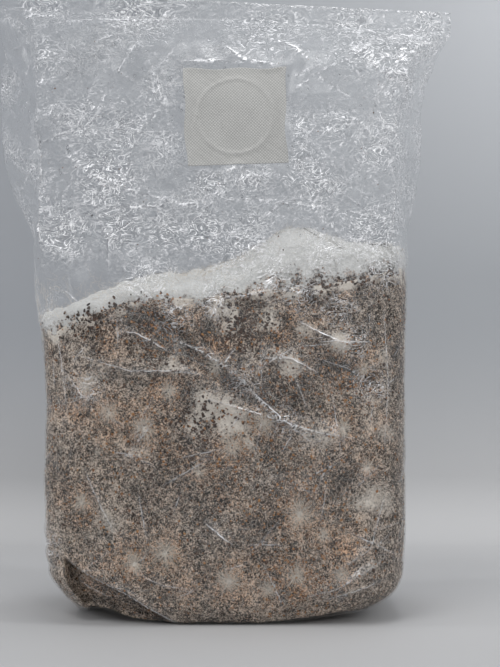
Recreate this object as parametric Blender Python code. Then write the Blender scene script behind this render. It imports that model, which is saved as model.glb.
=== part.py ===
"""Oyster mushroom grow bag: a clear gusseted film bag, sealed at the top, round a colonised block.

Metres, +Z up. The origin is under the middle of the bag, on the surface that it stands on, and
the panel with the filter patch faces -Y. Four pieces come apart on a bench: the film bag, the
filter patch welded over its vent hole, the block of substrate, and the white mat of mycelium
that has grown over the top of the block.
"""

import math

import bmesh
import bpy
from mathutils import Matrix, Vector

# The bag: an 8 x 5 inch gusseted tube, filled to half its height.
TOP_SEAL = 0.362  # height of the seal's upper edge above the middle
SEAL_BAND = 0.011  # height of the welded band
SEAL_SLANT = -0.05  # rise of the top per metre towards +X: the left end is the higher one
SLANT_STARTS = 0.200  # the bag is level below this
WALL = 0.0008  # stands in for film of 0.08 mm
GAP = 0.0003  # between pieces that touch
FILL_GAP = 0.0009  # between the film and its filling, whose facets don't line up
VENT_RADIUS = 0.017  # the hole that the filter patch covers

# The filled block, with its top falling to the left.
FOOT_HEIGHT = 0.037  # the sides are nearly straight above this
BLOCK_TOP = 0.1855  # under the middle of the top
BLOCK_SLOPE = 0.135  # rise of the top per metre towards +X

# The mat of mycelium: a rim, and mounds given as (x, y, height, radius).
MAT_RIM = 0.0075
MOUNDS = (
    (0.045, 0.004, 0.016, 0.026),
    (0.098, -0.012, 0.011, 0.024),
    (0.000, 0.020, 0.007, 0.030),
    (-0.060, -0.010, 0.004, 0.028),
    (0.070, 0.038, 0.006, 0.022),
)
MAT_RINGS = (1.0, 0.975, 0.93, 0.86, 0.74, 0.60, 0.45, 0.30, 0.16, 0.05)
MAT_EDGE = (0.0, 0.62, 0.88, 1.0, 1.0, 1.0, 1.0, 1.0, 1.0, 1.0)  # share of the height at each

# The filter patch on the front panel.
PATCH_SIDE = 0.0565
PATCH_THICK = 0.0005
PATCH_X = 0.008
PATCH_Z = 0.289
PATCH_TURN = math.radians(3.0)  # anticlockwise, as seen from the front
WELD_OUTER = 0.022
WELD_INNER = 0.0195
WELD_HEIGHT = 0.0004

POINTS_ROUND = 56
FULL_TURN = 2 * math.pi

# Stations up the bag: height, half width, half depth, centre x, centre y, squareness. The foot
# is a rounded pillow, the block fills the straight middle, and air fills the leaning top.
STATIONS = (
    (0.000, 0.0850, 0.0540, 0.002, 0.000, 3.2),
    (0.004, 0.0920, 0.0595, 0.002, 0.000, 3.4),
    (0.012, 0.0975, 0.0635, 0.002, 0.000, 3.8),
    (0.025, 0.1010, 0.0660, 0.002, 0.000, 4.4),
    (0.050, 0.1030, 0.0680, 0.002, 0.000, 5.0),
    (0.100, 0.1030, 0.0680, 0.002, 0.000, 5.0),
    (0.160, 0.1030, 0.0670, 0.002, 0.000, 5.0),
    (0.200, 0.1070, 0.0645, -0.001, 0.000, 4.8),
    (0.224, 0.1120, 0.0625, -0.002, 0.000, 4.4),
    (0.245, 0.1180, 0.0605, -0.004, 0.000, 4.0),
    (0.269, 0.1240, 0.0585, -0.007, 0.000, 4.0),
    (0.300, 0.1265, 0.0555, -0.006, -0.002, 4.0),
    (0.320, 0.1285, 0.0475, -0.004, -0.007, 4.0),
    (0.336, 0.1310, 0.0300, -0.002, -0.010, 4.0),
    (0.347, 0.1335, 0.0120, 0.000, -0.012, 4.0),
    (0.351, 0.1340, 0.0035, 0.000, -0.012, 4.0),
    (TOP_SEAL, 0.1340, 0.0014, 0.000, -0.012, 4.0),
)


def smooth_step(low, high, value):
    """0 below low, 1 above high, and an even curve between them."""
    share = min(max((value - low) / (high - low), 0.0), 1.0)
    return share * share * (3 - 2 * share)


def station_at(height):
    """The bag's section at a height, on straight runs between the stations."""
    height = min(max(height, STATIONS[0][0]), STATIONS[-1][0])
    for low, high in zip(STATIONS, STATIONS[1:]):
        if height <= high[0]:
            share = (height - low[0]) / (high[0] - low[0])
            return [a + (b - a) * share for a, b in zip(low, high)][1:]
    return list(STATIONS[-1][1:])


def outline_point(height, angle, inset):
    """A point of the bag's superellipse section, brought in by inset. Angle 0 is +X."""
    half_width, half_depth, centre_x, centre_y, squareness = station_at(height)
    power = 2 / squareness
    across, along = math.cos(angle), math.sin(angle)
    x = math.copysign(abs(across) ** power, across) * (half_width - inset)
    y = math.copysign(abs(along) ** power, along) * (half_depth - inset)
    return Vector((centre_x + x, centre_y + y, height))


def slanted(point):
    """The same point after the top of the bag has sagged to the right."""
    share = smooth_step(SLANT_STARTS, TOP_SEAL, point.z)
    return Vector((point.x, point.y, point.z + SEAL_SLANT * point.x * share))


def turns():
    """Angles round a section. Half a step off the axes, so that +X and -X get short flats."""
    return [FULL_TURN * (i + 0.5) / POINTS_ROUND for i in range(POINTS_ROUND)]


def bag_ring(height, inset):
    """One section of the bag. Insets also move the foot up and the top down."""
    lift = inset * math.cos(math.pi * height / TOP_SEAL)
    ring = []
    for angle in turns():
        point = slanted(outline_point(height, angle, inset))
        ring.append(point + Vector((0, 0, lift)))
    return ring


def block_top(x):
    """Height of the block's sloping top."""
    return BLOCK_TOP + BLOCK_SLOPE * x


def rim_point(angle, inset):
    """A point of the block's top rim, exactly on the plane of its top."""
    rim = outline_point(BLOCK_TOP, angle, inset)
    rim = outline_point(block_top(rim.x), angle, inset)
    rim.z = block_top(rim.x)
    return rim


def mat_height(x, y):
    """How far the mat stands above the block's top at a place."""
    height = MAT_RIM
    for mound_x, mound_y, rise, radius in MOUNDS:
        away = ((x - mound_x) ** 2 + (y - mound_y) ** 2) / radius**2
        height += rise * math.exp(-away)
    return height


def material(name, colour, roughness, alpha=1.0):
    made = bpy.data.materials.new(name)
    made.use_nodes = True
    shader = made.node_tree.nodes["Principled BSDF"]
    shader.inputs["Base Color"].default_value = (*colour, 1.0)
    shader.inputs["Roughness"].default_value = roughness
    shader.inputs["Alpha"].default_value = alpha
    return made


def new_object(name, mesh, collection):
    made = bpy.data.objects.new(name, mesh)
    collection.objects.link(made)
    return made


def loft(name, rings, collection):
    """A closed skin over unlike sections: rings bridged one to the next, with a cap at each end."""
    work = bmesh.new()
    loops = []
    for ring in rings:
        points = [work.verts.new(point) for point in ring]
        ends = zip(points, points[1:] + points[:1])
        loops.append([work.edges.new(pair) for pair in ends])
    for lower, upper in zip(loops, loops[1:]):
        bmesh.ops.bridge_loops(work, edges=lower + upper)
    bmesh.ops.contextual_create(work, geom=loops[0])
    bmesh.ops.contextual_create(work, geom=loops[-1])
    bmesh.ops.recalc_face_normals(work, faces=work.faces)
    mesh = bpy.data.meshes.new(name)
    work.to_mesh(mesh)
    work.free()
    mesh.shade_smooth()
    return new_object(name, mesh, collection)


def cylinder(name, radius, length, place, collection):
    """A cylinder along the local Z of place, centred on its origin."""
    work = bmesh.new()
    bmesh.ops.create_cone(
        work, cap_ends=True, segments=48, radius1=radius, radius2=radius, depth=length, matrix=place
    )
    mesh = bpy.data.meshes.new(name)
    work.to_mesh(mesh)
    work.free()
    return new_object(name, mesh, collection)


def combine(target, other, operation):
    """Adds a Boolean to target, and hides the other shape as a helper."""
    modifier = target.modifiers.new(other.name, "BOOLEAN")
    modifier.operation = operation
    modifier.object = other
    other.hide_render = True
    other.display_type = "WIRE"


def panel_point(x, height):
    """The point of the front panel's outer face at this x and unslanted height."""
    half_width, half_depth, centre_x, centre_y, squareness = station_at(height)
    across = min(abs(x - centre_x) / half_width, 1.0)
    y = centre_y - half_depth * (1 - across**squareness) ** (1 / squareness)
    return slanted(Vector((x, y, height)))


def patch_place():
    """The patch's frame: local Z out of the front panel, and just clear of its highest point."""
    middle = panel_point(PATCH_X, PATCH_Z)
    reach = PATCH_SIDE / 2
    across = panel_point(PATCH_X + reach, PATCH_Z) - panel_point(PATCH_X - reach, PATCH_Z)
    up = panel_point(PATCH_X, PATCH_Z + reach) - panel_point(PATCH_X, PATCH_Z - reach)
    across.normalize()
    out = across.cross(up.normalized()).normalized()
    up = out.cross(across)
    proud = 0.0
    for i in range(-4, 5):
        for j in range(-4, 5):
            near = panel_point(PATCH_X + i * reach / 3, PATCH_Z + j * reach / 3)
            proud = max(proud, (near - middle).dot(out))
    axes = Matrix((across, up, out)).transposed().to_4x4()
    return Matrix.Translation(middle + out * (proud + GAP)) @ axes @ Matrix.Rotation(PATCH_TURN, 4, "Z")


def make_grow_bag(place, collection, cutters):
    """One piece of clear film: hollow, closed by the seal band, and vented behind the patch."""
    heights = [0.0, 0.002, 0.004, 0.008, 0.012, 0.018, 0.025, 0.037, 0.05, 0.075, 0.1, 0.13, 0.16, 0.2]
    heights += [0.224, 0.245, 0.269, 0.3, 0.32, 0.336, 0.347, 0.351, TOP_SEAL]
    bag = loft("grow_bag", [bag_ring(height, 0.0) for height in heights], collection)
    under_seal = [height for height in heights if height <= TOP_SEAL - SEAL_BAND - 0.003]
    hollow = loft("hollow", [bag_ring(height, WALL) for height in under_seal], cutters)
    vent = cylinder("vent", VENT_RADIUS, 0.02, place, cutters)
    combine(bag, hollow, "DIFFERENCE")
    combine(bag, vent, "DIFFERENCE")
    bag.data.materials.append(material("clear_film", (0.86, 0.88, 0.90), 0.12, 0.25))


def make_substrate_block(collection):
    """Sawdust and bran bound by mycelium: it fills the bag's foot, and its top slopes."""
    inset = WALL + FILL_GAP
    rings = [bag_ring(height, inset) for height in (0.0, 0.002, 0.004, 0.008, 0.012, 0.018, 0.025)]
    for share in (0.0, 0.1, 0.3, 0.55, 0.8, 0.95):
        ring = []
        for angle in turns():
            height = FOOT_HEIGHT + (rim_point(angle, inset).z - FOOT_HEIGHT) * share
            ring.append(outline_point(height, angle, inset))
        rings.append(ring)
    rings.append([rim_point(angle, inset) for angle in turns()])
    block = loft("substrate_block", rings, collection)
    block.data.materials.append(material("substrate", (0.29, 0.24, 0.20), 0.9))


def make_mycelium_mat(collection):
    """The white growth over the block's top: a soft rim against the film, and low mounds."""
    inset = WALL + FILL_GAP
    middle_x, middle_y = station_at(BLOCK_TOP)[2:4]
    rings = []
    for share, edge in zip(MAT_RINGS, MAT_EDGE):
        ring = []
        for angle in turns():
            rim = rim_point(angle, inset)
            x = middle_x + (rim.x - middle_x) * share
            y = middle_y + (rim.y - middle_y) * share
            ring.append(Vector((x, y, block_top(x) + GAP + mat_height(x, y) * edge)))
        rings.append(ring)
    mat = loft("mycelium_mat", rings, collection)
    mat.data.materials.append(material("mycelium", (0.86, 0.85, 0.81), 0.95))


def make_filter_patch(place, collection, cutters):
    """A square of white microporous cloth, with the round weld that fixes it to the film."""
    work = bmesh.new()
    half = Matrix.Translation((0, 0, PATCH_THICK / 2))
    size = Matrix.Diagonal((PATCH_SIDE, PATCH_SIDE, PATCH_THICK, 1.0))
    bmesh.ops.create_cube(work, size=1.0, matrix=place @ half @ size)
    mesh = bpy.data.meshes.new("filter_patch")
    work.to_mesh(mesh)
    work.free()
    patch = new_object("filter_patch", mesh, collection)
    height = PATCH_THICK + WELD_HEIGHT
    rise = Matrix.Translation((0, 0, height / 2))
    weld = cylinder("weld", WELD_OUTER, height, place @ rise, cutters)
    above = Matrix.Translation((0, 0, PATCH_THICK + height / 2))
    bowl = cylinder("weld_inside", WELD_INNER, height, place @ above, cutters)
    combine(patch, weld, "UNION")
    combine(patch, bowl, "DIFFERENCE")
    patch.data.materials.append(material("filter_cloth", (0.80, 0.80, 0.78), 0.85))


def main():
    for old in list(bpy.data.objects):
        bpy.data.objects.remove(old)
    parts = bpy.data.collections.new("oyster_grow_bag")
    cutters = bpy.data.collections.new("cutters")
    bpy.context.scene.collection.children.link(parts)
    bpy.context.scene.collection.children.link(cutters)
    place = patch_place()
    make_grow_bag(place, parts, cutters)
    make_substrate_block(parts)
    make_mycelium_mat(parts)
    make_filter_patch(place, parts, cutters)


main()
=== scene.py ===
"""Oyster mushroom grow bag: the looks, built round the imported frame.

A clear gusseted film bag stands on the block of substrate that fills its lower half. White
mycelium has grown through the block and over its top. The upper half of the bag is crinkled
film with air in it, and a square filter patch is welded to the front panel. Metres, +Z up, and
the front panel faces -Y.
"""

import math

import bmesh
import bpy
import numpy as np
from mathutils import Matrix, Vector


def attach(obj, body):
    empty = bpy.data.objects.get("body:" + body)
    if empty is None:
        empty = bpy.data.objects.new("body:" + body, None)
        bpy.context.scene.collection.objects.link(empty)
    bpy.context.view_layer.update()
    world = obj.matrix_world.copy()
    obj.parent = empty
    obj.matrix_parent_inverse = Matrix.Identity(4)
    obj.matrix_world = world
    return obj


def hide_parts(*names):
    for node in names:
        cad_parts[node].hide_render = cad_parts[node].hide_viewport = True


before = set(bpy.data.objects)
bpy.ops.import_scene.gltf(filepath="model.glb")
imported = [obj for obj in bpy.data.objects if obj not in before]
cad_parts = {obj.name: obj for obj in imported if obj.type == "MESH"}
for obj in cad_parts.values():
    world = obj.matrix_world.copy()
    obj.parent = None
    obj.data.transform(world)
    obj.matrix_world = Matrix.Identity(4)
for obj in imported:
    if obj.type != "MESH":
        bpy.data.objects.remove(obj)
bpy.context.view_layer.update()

# ---------------------------------------------------------------------------------------------
# The clear bag. One tube of thin polypropylene film, 8 inches wide with 5 inch side gussets,
# welded across the bottom and the top. It is tight round the block and slack above it, where
# it has been crumpled by hand: long sharp folds, and fine crinkles between them.
# ---------------------------------------------------------------------------------------------
PANEL = 0.203  # width of the front and back panels
GUSSET = 0.127  # width of each side gusset, folded down its middle
AROUND = 2 * PANEL + 2 * GUSSET
COLUMNS_PANEL = 128
COLUMNS_GUSSET = 80
FILM_COLUMNS = 2 * (COLUMNS_PANEL + COLUMNS_GUSSET)
ROWS_UNDER = 12
ROWS_BODY = 214
ROWS_SEAL = 5
SEAL_TOP = 0.362
SEAL_FOOT = 0.351
SEAL_SLANT = -0.05

# Stations up the bag, in millimetres: height, left edge, right edge, front depth, back depth,
# gusset fold depth, left and right edge of the panels, bulge of the panels.
FILM_STATIONS = (
    (0, -86, 88, -56, 54, 0, -86, 88, 0),
    (4, -90.5, 96, -60, 59.5, 0, -90.5, 96, 0),
    (12, -95, 102, -63.2, 63.5, 0, -95, 102, 0),
    (25, -101, 105.8, -65.5, 66, 0, -101, 105.8, 0),
    (50, -103.5, 107.2, -67.2, 68, 0, -103.5, 107.2, 0),
    (80, -104.5, 107, -67.8, 68, 0, -104.5, 107, 0),
    (125, -103, 106.8, -67.8, 68, 0, -103, 106.8, 0),
    (160, -105, 107, -67, 67, 0, -103, 105.8, 0),
    (175, -107.5, 107.5, -66, 66, 0, -103, 104.5, 0.5),
    (190, -110.5, 108.2, -64.5, 65, 0, -103, 102.5, 1),
    (224, -113.5, 110, -61, 62.5, -4, -103, 99, 2),
    (245, -122.5, 114.5, -59, 60.5, -6, -104, 99, 2.5),
    (265, -132.5, 117.5, -57, 58.5, -6, -105, 99, 2.5),
    (300, -132, 119.5, -55, 53.5, -4, -105, 100, 2),
    (318, -132, 121, -51, 44, -4, -106, 104, 1.5),
    (330, -132.5, 123.5, -44, 30, -6, -108, 110, 1),
    (340, -133, 130, -30, 14, -9, -112, 118, 0.5),
    (347, -133.5, 134.5, -19.5, -2, -12, -118, 125, 0),
    (351, -133.5, 135, -12.5, -11.5, -12, -120, 128, 0),
    (362, -133.5, 135, -12.3, -11.7, -12, -120, 128, 0),
)
FILM_STATIONS = np.array(FILM_STATIONS) / 1000


def even_step(low, high, value):
    """0 below low, 1 above high, and between them 3 shares squared less 2 shares cubed."""
    share = np.clip((value - low) / (high - low), 0.0, 1.0)
    return share * share * (3.0 - 2.0 * share)


def smooth_stations(table, heights):
    """Each column of the table read at the heights, then softened by a moving mean along them."""
    read = np.stack([np.interp(heights, table[:, 0], column) for column in table.T], axis=-1)
    soft = read.copy()
    for _ in range(6):
        soft[1:-1] = 0.25 * soft[:-2] + 0.5 * soft[1:-1] + 0.25 * soft[2:]
    keep = (heights > SEAL_FOOT - 0.004)[:, None]
    return np.where(keep, read, soft)


def film_columns():
    """The tube's columns: the distance of each round the tube from the middle of the front panel,
    and its number counted in corners, 0 at the front left and 4 when it is back there."""
    front = np.linspace(0, 1, COLUMNS_PANEL, endpoint=False)
    side = np.linspace(0, 1, COLUMNS_GUSSET, endpoint=False)
    corner = np.concatenate([front, 1 + side, 2 + front, 3 + side])
    stops = np.cumsum([0, PANEL, GUSSET, PANEL, GUSSET]) - PANEL / 2
    return np.interp(corner, np.arange(5), stops), corner


def rounded_section(corner, squareness=5.0):
    """A superellipse of unit half width and half depth, walked at an even pace from one of its
    corners to the next. Gives x and y for each column."""
    angle = np.linspace(-0.75 * np.pi, 1.25 * np.pi, 8001)
    power = 2.0 / squareness
    x = np.sign(np.cos(angle)) * np.abs(np.cos(angle)) ** power
    y = np.sign(np.sin(angle)) * np.abs(np.sin(angle)) ** power
    pace = np.hypot(np.diff(x) * 1.52, np.diff(y))
    walked = np.concatenate([[0.0], np.cumsum(pace)])
    at_corner = walked[[0, 2000, 4000, 6000, 8000]]
    place = np.interp(corner, np.arange(5), at_corner)
    return np.interp(place, walked, x), np.interp(place, walked, y)


def hexagon_section(corner, row):
    """Flat panels front and back, and gussets folded outwards. The panels bulge by a parabola.
    row holds the eight station values, each as a column."""
    left, right, front, back, fold, panel_left, panel_right, bulge = row
    knots = [0.0, 1.0, 1.5, 2.0, 3.0, 3.5, 4.0]
    xs = [panel_left, panel_right, right, panel_right, panel_left, left, panel_left]
    ys = [front, front, fold, back, back, fold, front]
    x = np.zeros((len(left), len(corner)))
    y = np.zeros_like(x)
    for low, high, x0, x1, y0, y1 in zip(knots, knots[1:], xs, xs[1:], ys, ys[1:]):
        inside = (corner >= low) & (corner < high)
        share = (corner[inside] - low) / (high - low)
        x[:, inside] = x0 + (x1 - x0) * share
        y[:, inside] = y0 + (y1 - y0) * share
        if high - low > 0.9:
            outward = -1.0 if low < 1 else 1.0
            y[:, inside] += outward * bulge * 4 * share * (1 - share)
    return x, y


def smooth_bag():
    """The bag without its creases: rounded round the block, a hexagon above it, a flat band at
    the top, and its underside drawn in to the bottom weld. Gives points and row heights."""
    run, corner = film_columns()
    body = np.linspace(0.0, SEAL_FOOT, ROWS_BODY)
    heights = np.concatenate([body, np.linspace(SEAL_FOOT, SEAL_TOP, ROWS_SEAL + 1)[1:]])
    stations = smooth_stations(FILM_STATIONS, heights)
    row = [stations[:, k : k + 1] for k in range(1, 9)]
    left, right, front, back = row[:4]
    round_x, round_y = rounded_section(corner)
    soft_x = (left + right) / 2 + round_x * (right - left) / 2
    soft_y = (front + back) / 2 + round_y * (back - front) / 2
    flat_x, flat_y = hexagon_section(corner, row)
    share = even_step(0.175, 0.235, heights)[:, None]
    x = soft_x + (flat_x - soft_x) * share
    y = soft_y + (flat_y - soft_y) * share
    z = np.broadcast_to(heights[:, None], x.shape).copy()
    share = np.linspace(0.0, 1.0, ROWS_UNDER, endpoint=False)[:, None]
    weld_x = np.clip(x[0], -0.080, 0.083)
    under_x = weld_x + (x[0] - weld_x) * share
    under_y = y[0] * share
    under_z = 0.0012 * np.sin(np.pi * share) * np.ones_like(under_x)
    x = np.concatenate([under_x, x])
    y = np.concatenate([under_y, y])
    z = np.concatenate([under_z, z])
    slope = even_step(0.20, SEAL_TOP, z)
    z = z + SEAL_SLANT * x * slope
    heights = np.concatenate([np.full(ROWS_UNDER, 0.0), heights])
    return np.stack([x, y, z], axis=-1), run, heights


def grid_normals(points):
    """Unit normals of a tube grid: the cross product of its steps round and up the tube."""
    around = np.roll(points, -1, axis=1) - np.roll(points, 1, axis=1)
    up = np.gradient(points, axis=0)
    normal = np.cross(around, up)
    return normal / np.maximum(np.linalg.norm(normal, axis=-1, keepdims=True), 1e-12)


class FoldField:
    """The folds of the film, on its grid. rise is how far the film stands out. near is the
    distance to the closest fold, counted below zero on its left, and white is how strongly the
    film is whitened along that fold: partly the haze of creased film, partly painted highlight."""

    def __init__(self, shape):
        self.rise = np.zeros(shape)
        self.near = np.full(shape, 0.02)
        self.white = np.zeros(shape)

    def mark(self, cells, signed, strength):
        """Keeps the closer of the fold already known and this one, in the cells given."""
        known = self.near[cells]
        closer = np.abs(signed) < np.abs(known)
        self.near[cells] = np.where(closer, signed, known)
        self.white[cells] = np.where(closer, strength, self.white[cells])


def fold_line(field, run, height, path, width, rise, white):
    """A fold: the film stands up to a sharp crest along the path and falls straight to nothing
    at width from it. It is lower towards the ends of the path."""
    best = np.zeros_like(run)
    spans = list(zip(path, path[1:]))
    for number, (start, end) in enumerate(spans):
        step = np.subtract(end, start)
        share = (run - start[0]) * step[0] + (height - start[1]) * step[1]
        share = share / (step @ step)
        held = np.clip(share, 0.0, 1.0)
        off_x = run - start[0] - held * step[0]
        off_z = height - start[1] - held * step[1]
        away = np.hypot(off_x, off_z)
        side = np.sign(step[0] * off_z - step[1] * off_x)
        along = (number + held) / len(spans)
        fade = np.sin(np.pi * (0.10 + 0.80 * along))
        best = np.maximum(best, np.clip(1 - away / width, 0, None) * fade)
        beyond = np.abs(share - held) * np.linalg.norm(step)
        field.mark(np.s_[:, :], side * away, white * fade * np.clip(1 - beyond / 0.0015, 0, 1))
    field.rise += rise * best


# Long folds of the front panel, in millimetres, as points (x, z) along each, the width of the
# fold's flank, its rise, and how white it is. A fold with a negative rise goes in.
FRONT_FOLDS = (
    ([(-64, 181), (-41, 173), (-21, 158), (-2, 145), (14, 128)], 9, -3.8, 0.1),
    ([(-30, 161), (-15, 156), (0, 147), (16, 134)], 6, 3.5, 0.9),
    ([(-62, 166), (-52, 165), (-43, 160), (-34, 155)], 4, 1.9, 0.8),
    ([(-34, 175), (-25, 180), (-21, 175)], 3, 1.4, 0.8),
    ([(-7, 173), (-1, 181)], 3, 1.4, 0.8),
    ([(-90, 153), (-56, 143.5), (-33, 144), (-15, 142)], 8, 3, 0.7),
    ([(-10, 128), (14, 122), (36, 116), (55, 110), (80, 106)], 7, 3, 0.8),
    ([(9, 140), (23, 127), (36, 117), (53, 104)], 6, 3.5, 1),
    ([(-1, 144), (18, 129), (32, 114)], 6, -3, 0.2),
    ([(24, 151), (41, 151), (57, 143)], 6, 2.4, 0.8),
    ([(57, 151), (77, 145), (88, 138), (99, 137)], 6, -3.2, 0.5),
    ([(45, 172), (57, 166), (71, 160), (89, 160)], 8, 4.3, 1),
    ([(36, 190), (42, 189), (51, 185), (60, 188)], 4, 2.4, 1),
    ([(60, 186), (77, 181), (84, 176)], 5, 2.2, 0.7),
    ([(-1, 184), (13, 186), (25, 188), (33, 198), (40, 203)], 5, 1.9, 0.9),
    ([(-1, 146), (6, 155)], 3, 1.4, 0.8),
    ([(-85, 89), (-68, 54)], 6, 2.2, 0.6),
    ([(-99, 37), (-76, 24.5), (-52, 11.2), (-36, 2.2)], 5, 2.7, 0.8),
    ([(-94, 24), (-80, 10)], 4, 2.2, 0.5),
    ([(-98, 143), (-87, 130), (-78, 127)], 6, 1.9, 0.6),
    ([(-68, 99), (-48, 95)], 5, 1.6, 0.5),
    ([(-12, 59), (4, 47)], 4, 1.9, 1),
    ([(80, 78), (97, 92)], 6, 1.6, 0.4),
    ([(-58, 32), (-40, 24), (-18, 21)], 6, 1.9, 0.4),
    ([(52, 16), (70, 21), (102, 40)], 6, 3.2, 0.5),
    ([(60, 12), (80, 18), (101, 26)], 4, 2.4, 0.5),
    ([(66, 30), (103, 52)], 5, 2.2, 0.4),
    ([(-104, 168), (-100, 150), (-98, 120)], 4, 1.9, 0.5),
    ([(98, 180), (101, 140), (99, 100)], 4, 1.9, 0.5),
    ([(-80, 237), (-44, 235.5), (-21, 237), (17, 241)], 10, 3, 1),
    ([(-1, 239), (18, 241), (42, 239), (74, 234.5), (100, 230.5)], 10, -2.6, 0.8),
    ([(18, 241), (51, 238), (64, 226.5), (70, 216)], 6, 2, 0.8),
    ([(-122, 330), (-109, 337), (-96, 348)], 7, 3, 1),
    ([(-88, 340), (-64, 345.5), (-47, 347), (-20, 349)], 9, 2.6, 0.8),
    ([(-96, 315), (-113, 307)], 6, 2, 0.6),
    ([(-44, 335), (-56, 311), (-41, 302)], 9, 1.2, 0.3),
    ([(-106, 283), (-99, 271), (-77, 280)], 7, 1.8, 0.6),
    ([(-88, 268), (-70, 253), (-45, 243.5), (-21, 238)], 7, 2.4, 0.9),
    ([(-70, 232), (-62, 219), (-64, 199)], 6, 1.8, 0.7),
    ([(-41, 232), (-62, 219)], 5, 1.6, 0.7),
    ([(-104, 234), (-100, 215), (-85, 205)], 6, 1.8, 0.6),
    ([(-30, 298), (-36, 285), (-52, 270)], 5, 1.4, 0.5),
    ([(23, 336.5), (38, 330), (46, 324)], 5, 1.8, 1),
    ([(-1, 331), (12, 321), (34, 317)], 5, 1.6, 0.7),
    ([(-20, 319), (10, 320.5), (36, 318.5)], 3, 0.8, 0.9),
    ([(70, 330), (81, 326), (87, 317), (104, 315), (113, 300)], 7, 3.6, 1),
    ([(64, 288), (81, 287), (91, 273.5)], 6, 2.2, 0.8),
    ([(87, 292), (104, 277), (108, 262)], 6, 2, 0.6),
    ([(48, 256.5), (64, 250), (80, 238)], 5, 1.6, 0.7),
    ([(-10, 258), (2, 254), (12, 260), (24, 252)], 4, 1.6, 0.8),
    ([(28, 221.5), (18, 212), (0, 210)], 4, 1.6, 0.8),
)


def random_folds(field, run, height, rng, count, length, width, rise, band, white, share_of):
    """Many straight folds at random places in a band of heights, some out and some in. Lengths,
    widths and rises are given as (least, most). Only the cells near a fold are touched, and
    share_of says how much of them each part of the film takes."""
    rows, columns = run.shape
    column_step = AROUND / columns
    levels = height[:, 0]
    for _ in range(count):
        centre_run = rng.uniform(0, AROUND)
        centre_height = rng.uniform(*band)
        long = rng.uniform(*length)
        flank = rng.uniform(*width)
        crest = rng.uniform(*rise) * rng.choice((-1.0, 1.0))
        turn = rng.normal(0.0, 0.9) + rng.choice((-0.6, 0.6, 1.5))
        reach = long / 2 + flank
        near = np.arange(-int(reach / column_step) - 1, int(reach / column_step) + 2)
        middle = int(centre_run / column_step)
        picked = (near + middle) % columns
        low, high = np.searchsorted(levels, (centre_height - reach, centre_height + reach))
        if high - low < 2:
            continue
        side = (near[None, :] + middle) * column_step - centre_run
        up = levels[low:high, None] - centre_height
        along = side * math.cos(turn) + up * math.sin(turn)
        across = -side * math.sin(turn) + up * math.cos(turn)
        beyond = np.clip(np.abs(along) - long / 2, 0, None)
        away = np.abs(across) + 0.8 * beyond
        cells = np.ix_(np.arange(low, high), picked)
        share = share_of[cells]
        field.rise[cells] += share * crest * np.clip(1 - away / flank, 0, None)
        signed = np.where(across < 0, -1.0, 1.0) * np.hypot(across, beyond)
        fade = np.clip(1 - beyond / 0.001, 0, 1) * np.clip(1.3 - 2.2 * np.abs(along) / long, 0, 1)
        field.mark(cells, signed, share * rng.uniform(*white) * fade)


bag_points, bag_run, bag_heights = smooth_bag()
film_run = np.broadcast_to(bag_run, bag_points.shape[:2])
film_height = np.broadcast_to(bag_heights[:, None], bag_points.shape[:2])
bag_normals = grid_normals(bag_points)

# The right part of the foot and its corner are lifted a little. At the left corner the gusset
# is folded flat into an ear, which lies behind a long diagonal fold of the front panel.
RIGHT_LIFT = 0.0065
EAR_LIFT = 0.0070
EAR_DEPTH = 0.0115
EAR_TIP_RUN = -0.104
EAR_TIP_OUT = 0.0040
EAR_FOLD = (-0.100, 0.037)  # a point on the diagonal fold, as run and height
EAR_UP = (0.482, 0.876)  # the way up from it, square to the fold
at_foot = 1 - even_step(0.0, 0.03, bag_points[..., 2])
near_tip = np.exp(-(((film_run - EAR_TIP_RUN) / 0.010) ** 2))
left_tip = near_tip * (1 - even_step(0.004, 0.030, bag_points[..., 2]))
bag_points[..., 0] -= EAR_TIP_OUT * left_tip
bag_points[..., 2] += RIGHT_LIFT * even_step(0.010, 0.090, bag_points[..., 0]) * at_foot
below = -((film_run - EAR_FOLD[0]) * EAR_UP[0] + (film_height - EAR_FOLD[1]) * EAR_UP[1])
in_front = even_step(0.0, 0.03, -bag_points[..., 1])
at_left = 1 - even_step(-0.045, -0.015, bag_points[..., 0])
in_ear = even_step(-0.0008, 0.0022, below) * at_left * in_front
bag_points[..., 1] += EAR_DEPTH * in_ear * even_step(0.0, 0.008, film_height + 0.004)
left_corner = even_step(0.040, 0.070, -bag_points[..., 0])
bag_points[..., 2] += EAR_LIFT * left_corner * at_foot * in_front


def zone_table(*rows):
    """Round zones, from rows of x, height and radius in millimetres, and a strength."""
    return np.array(rows) / (1000, 1000, 1000, 1)
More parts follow.
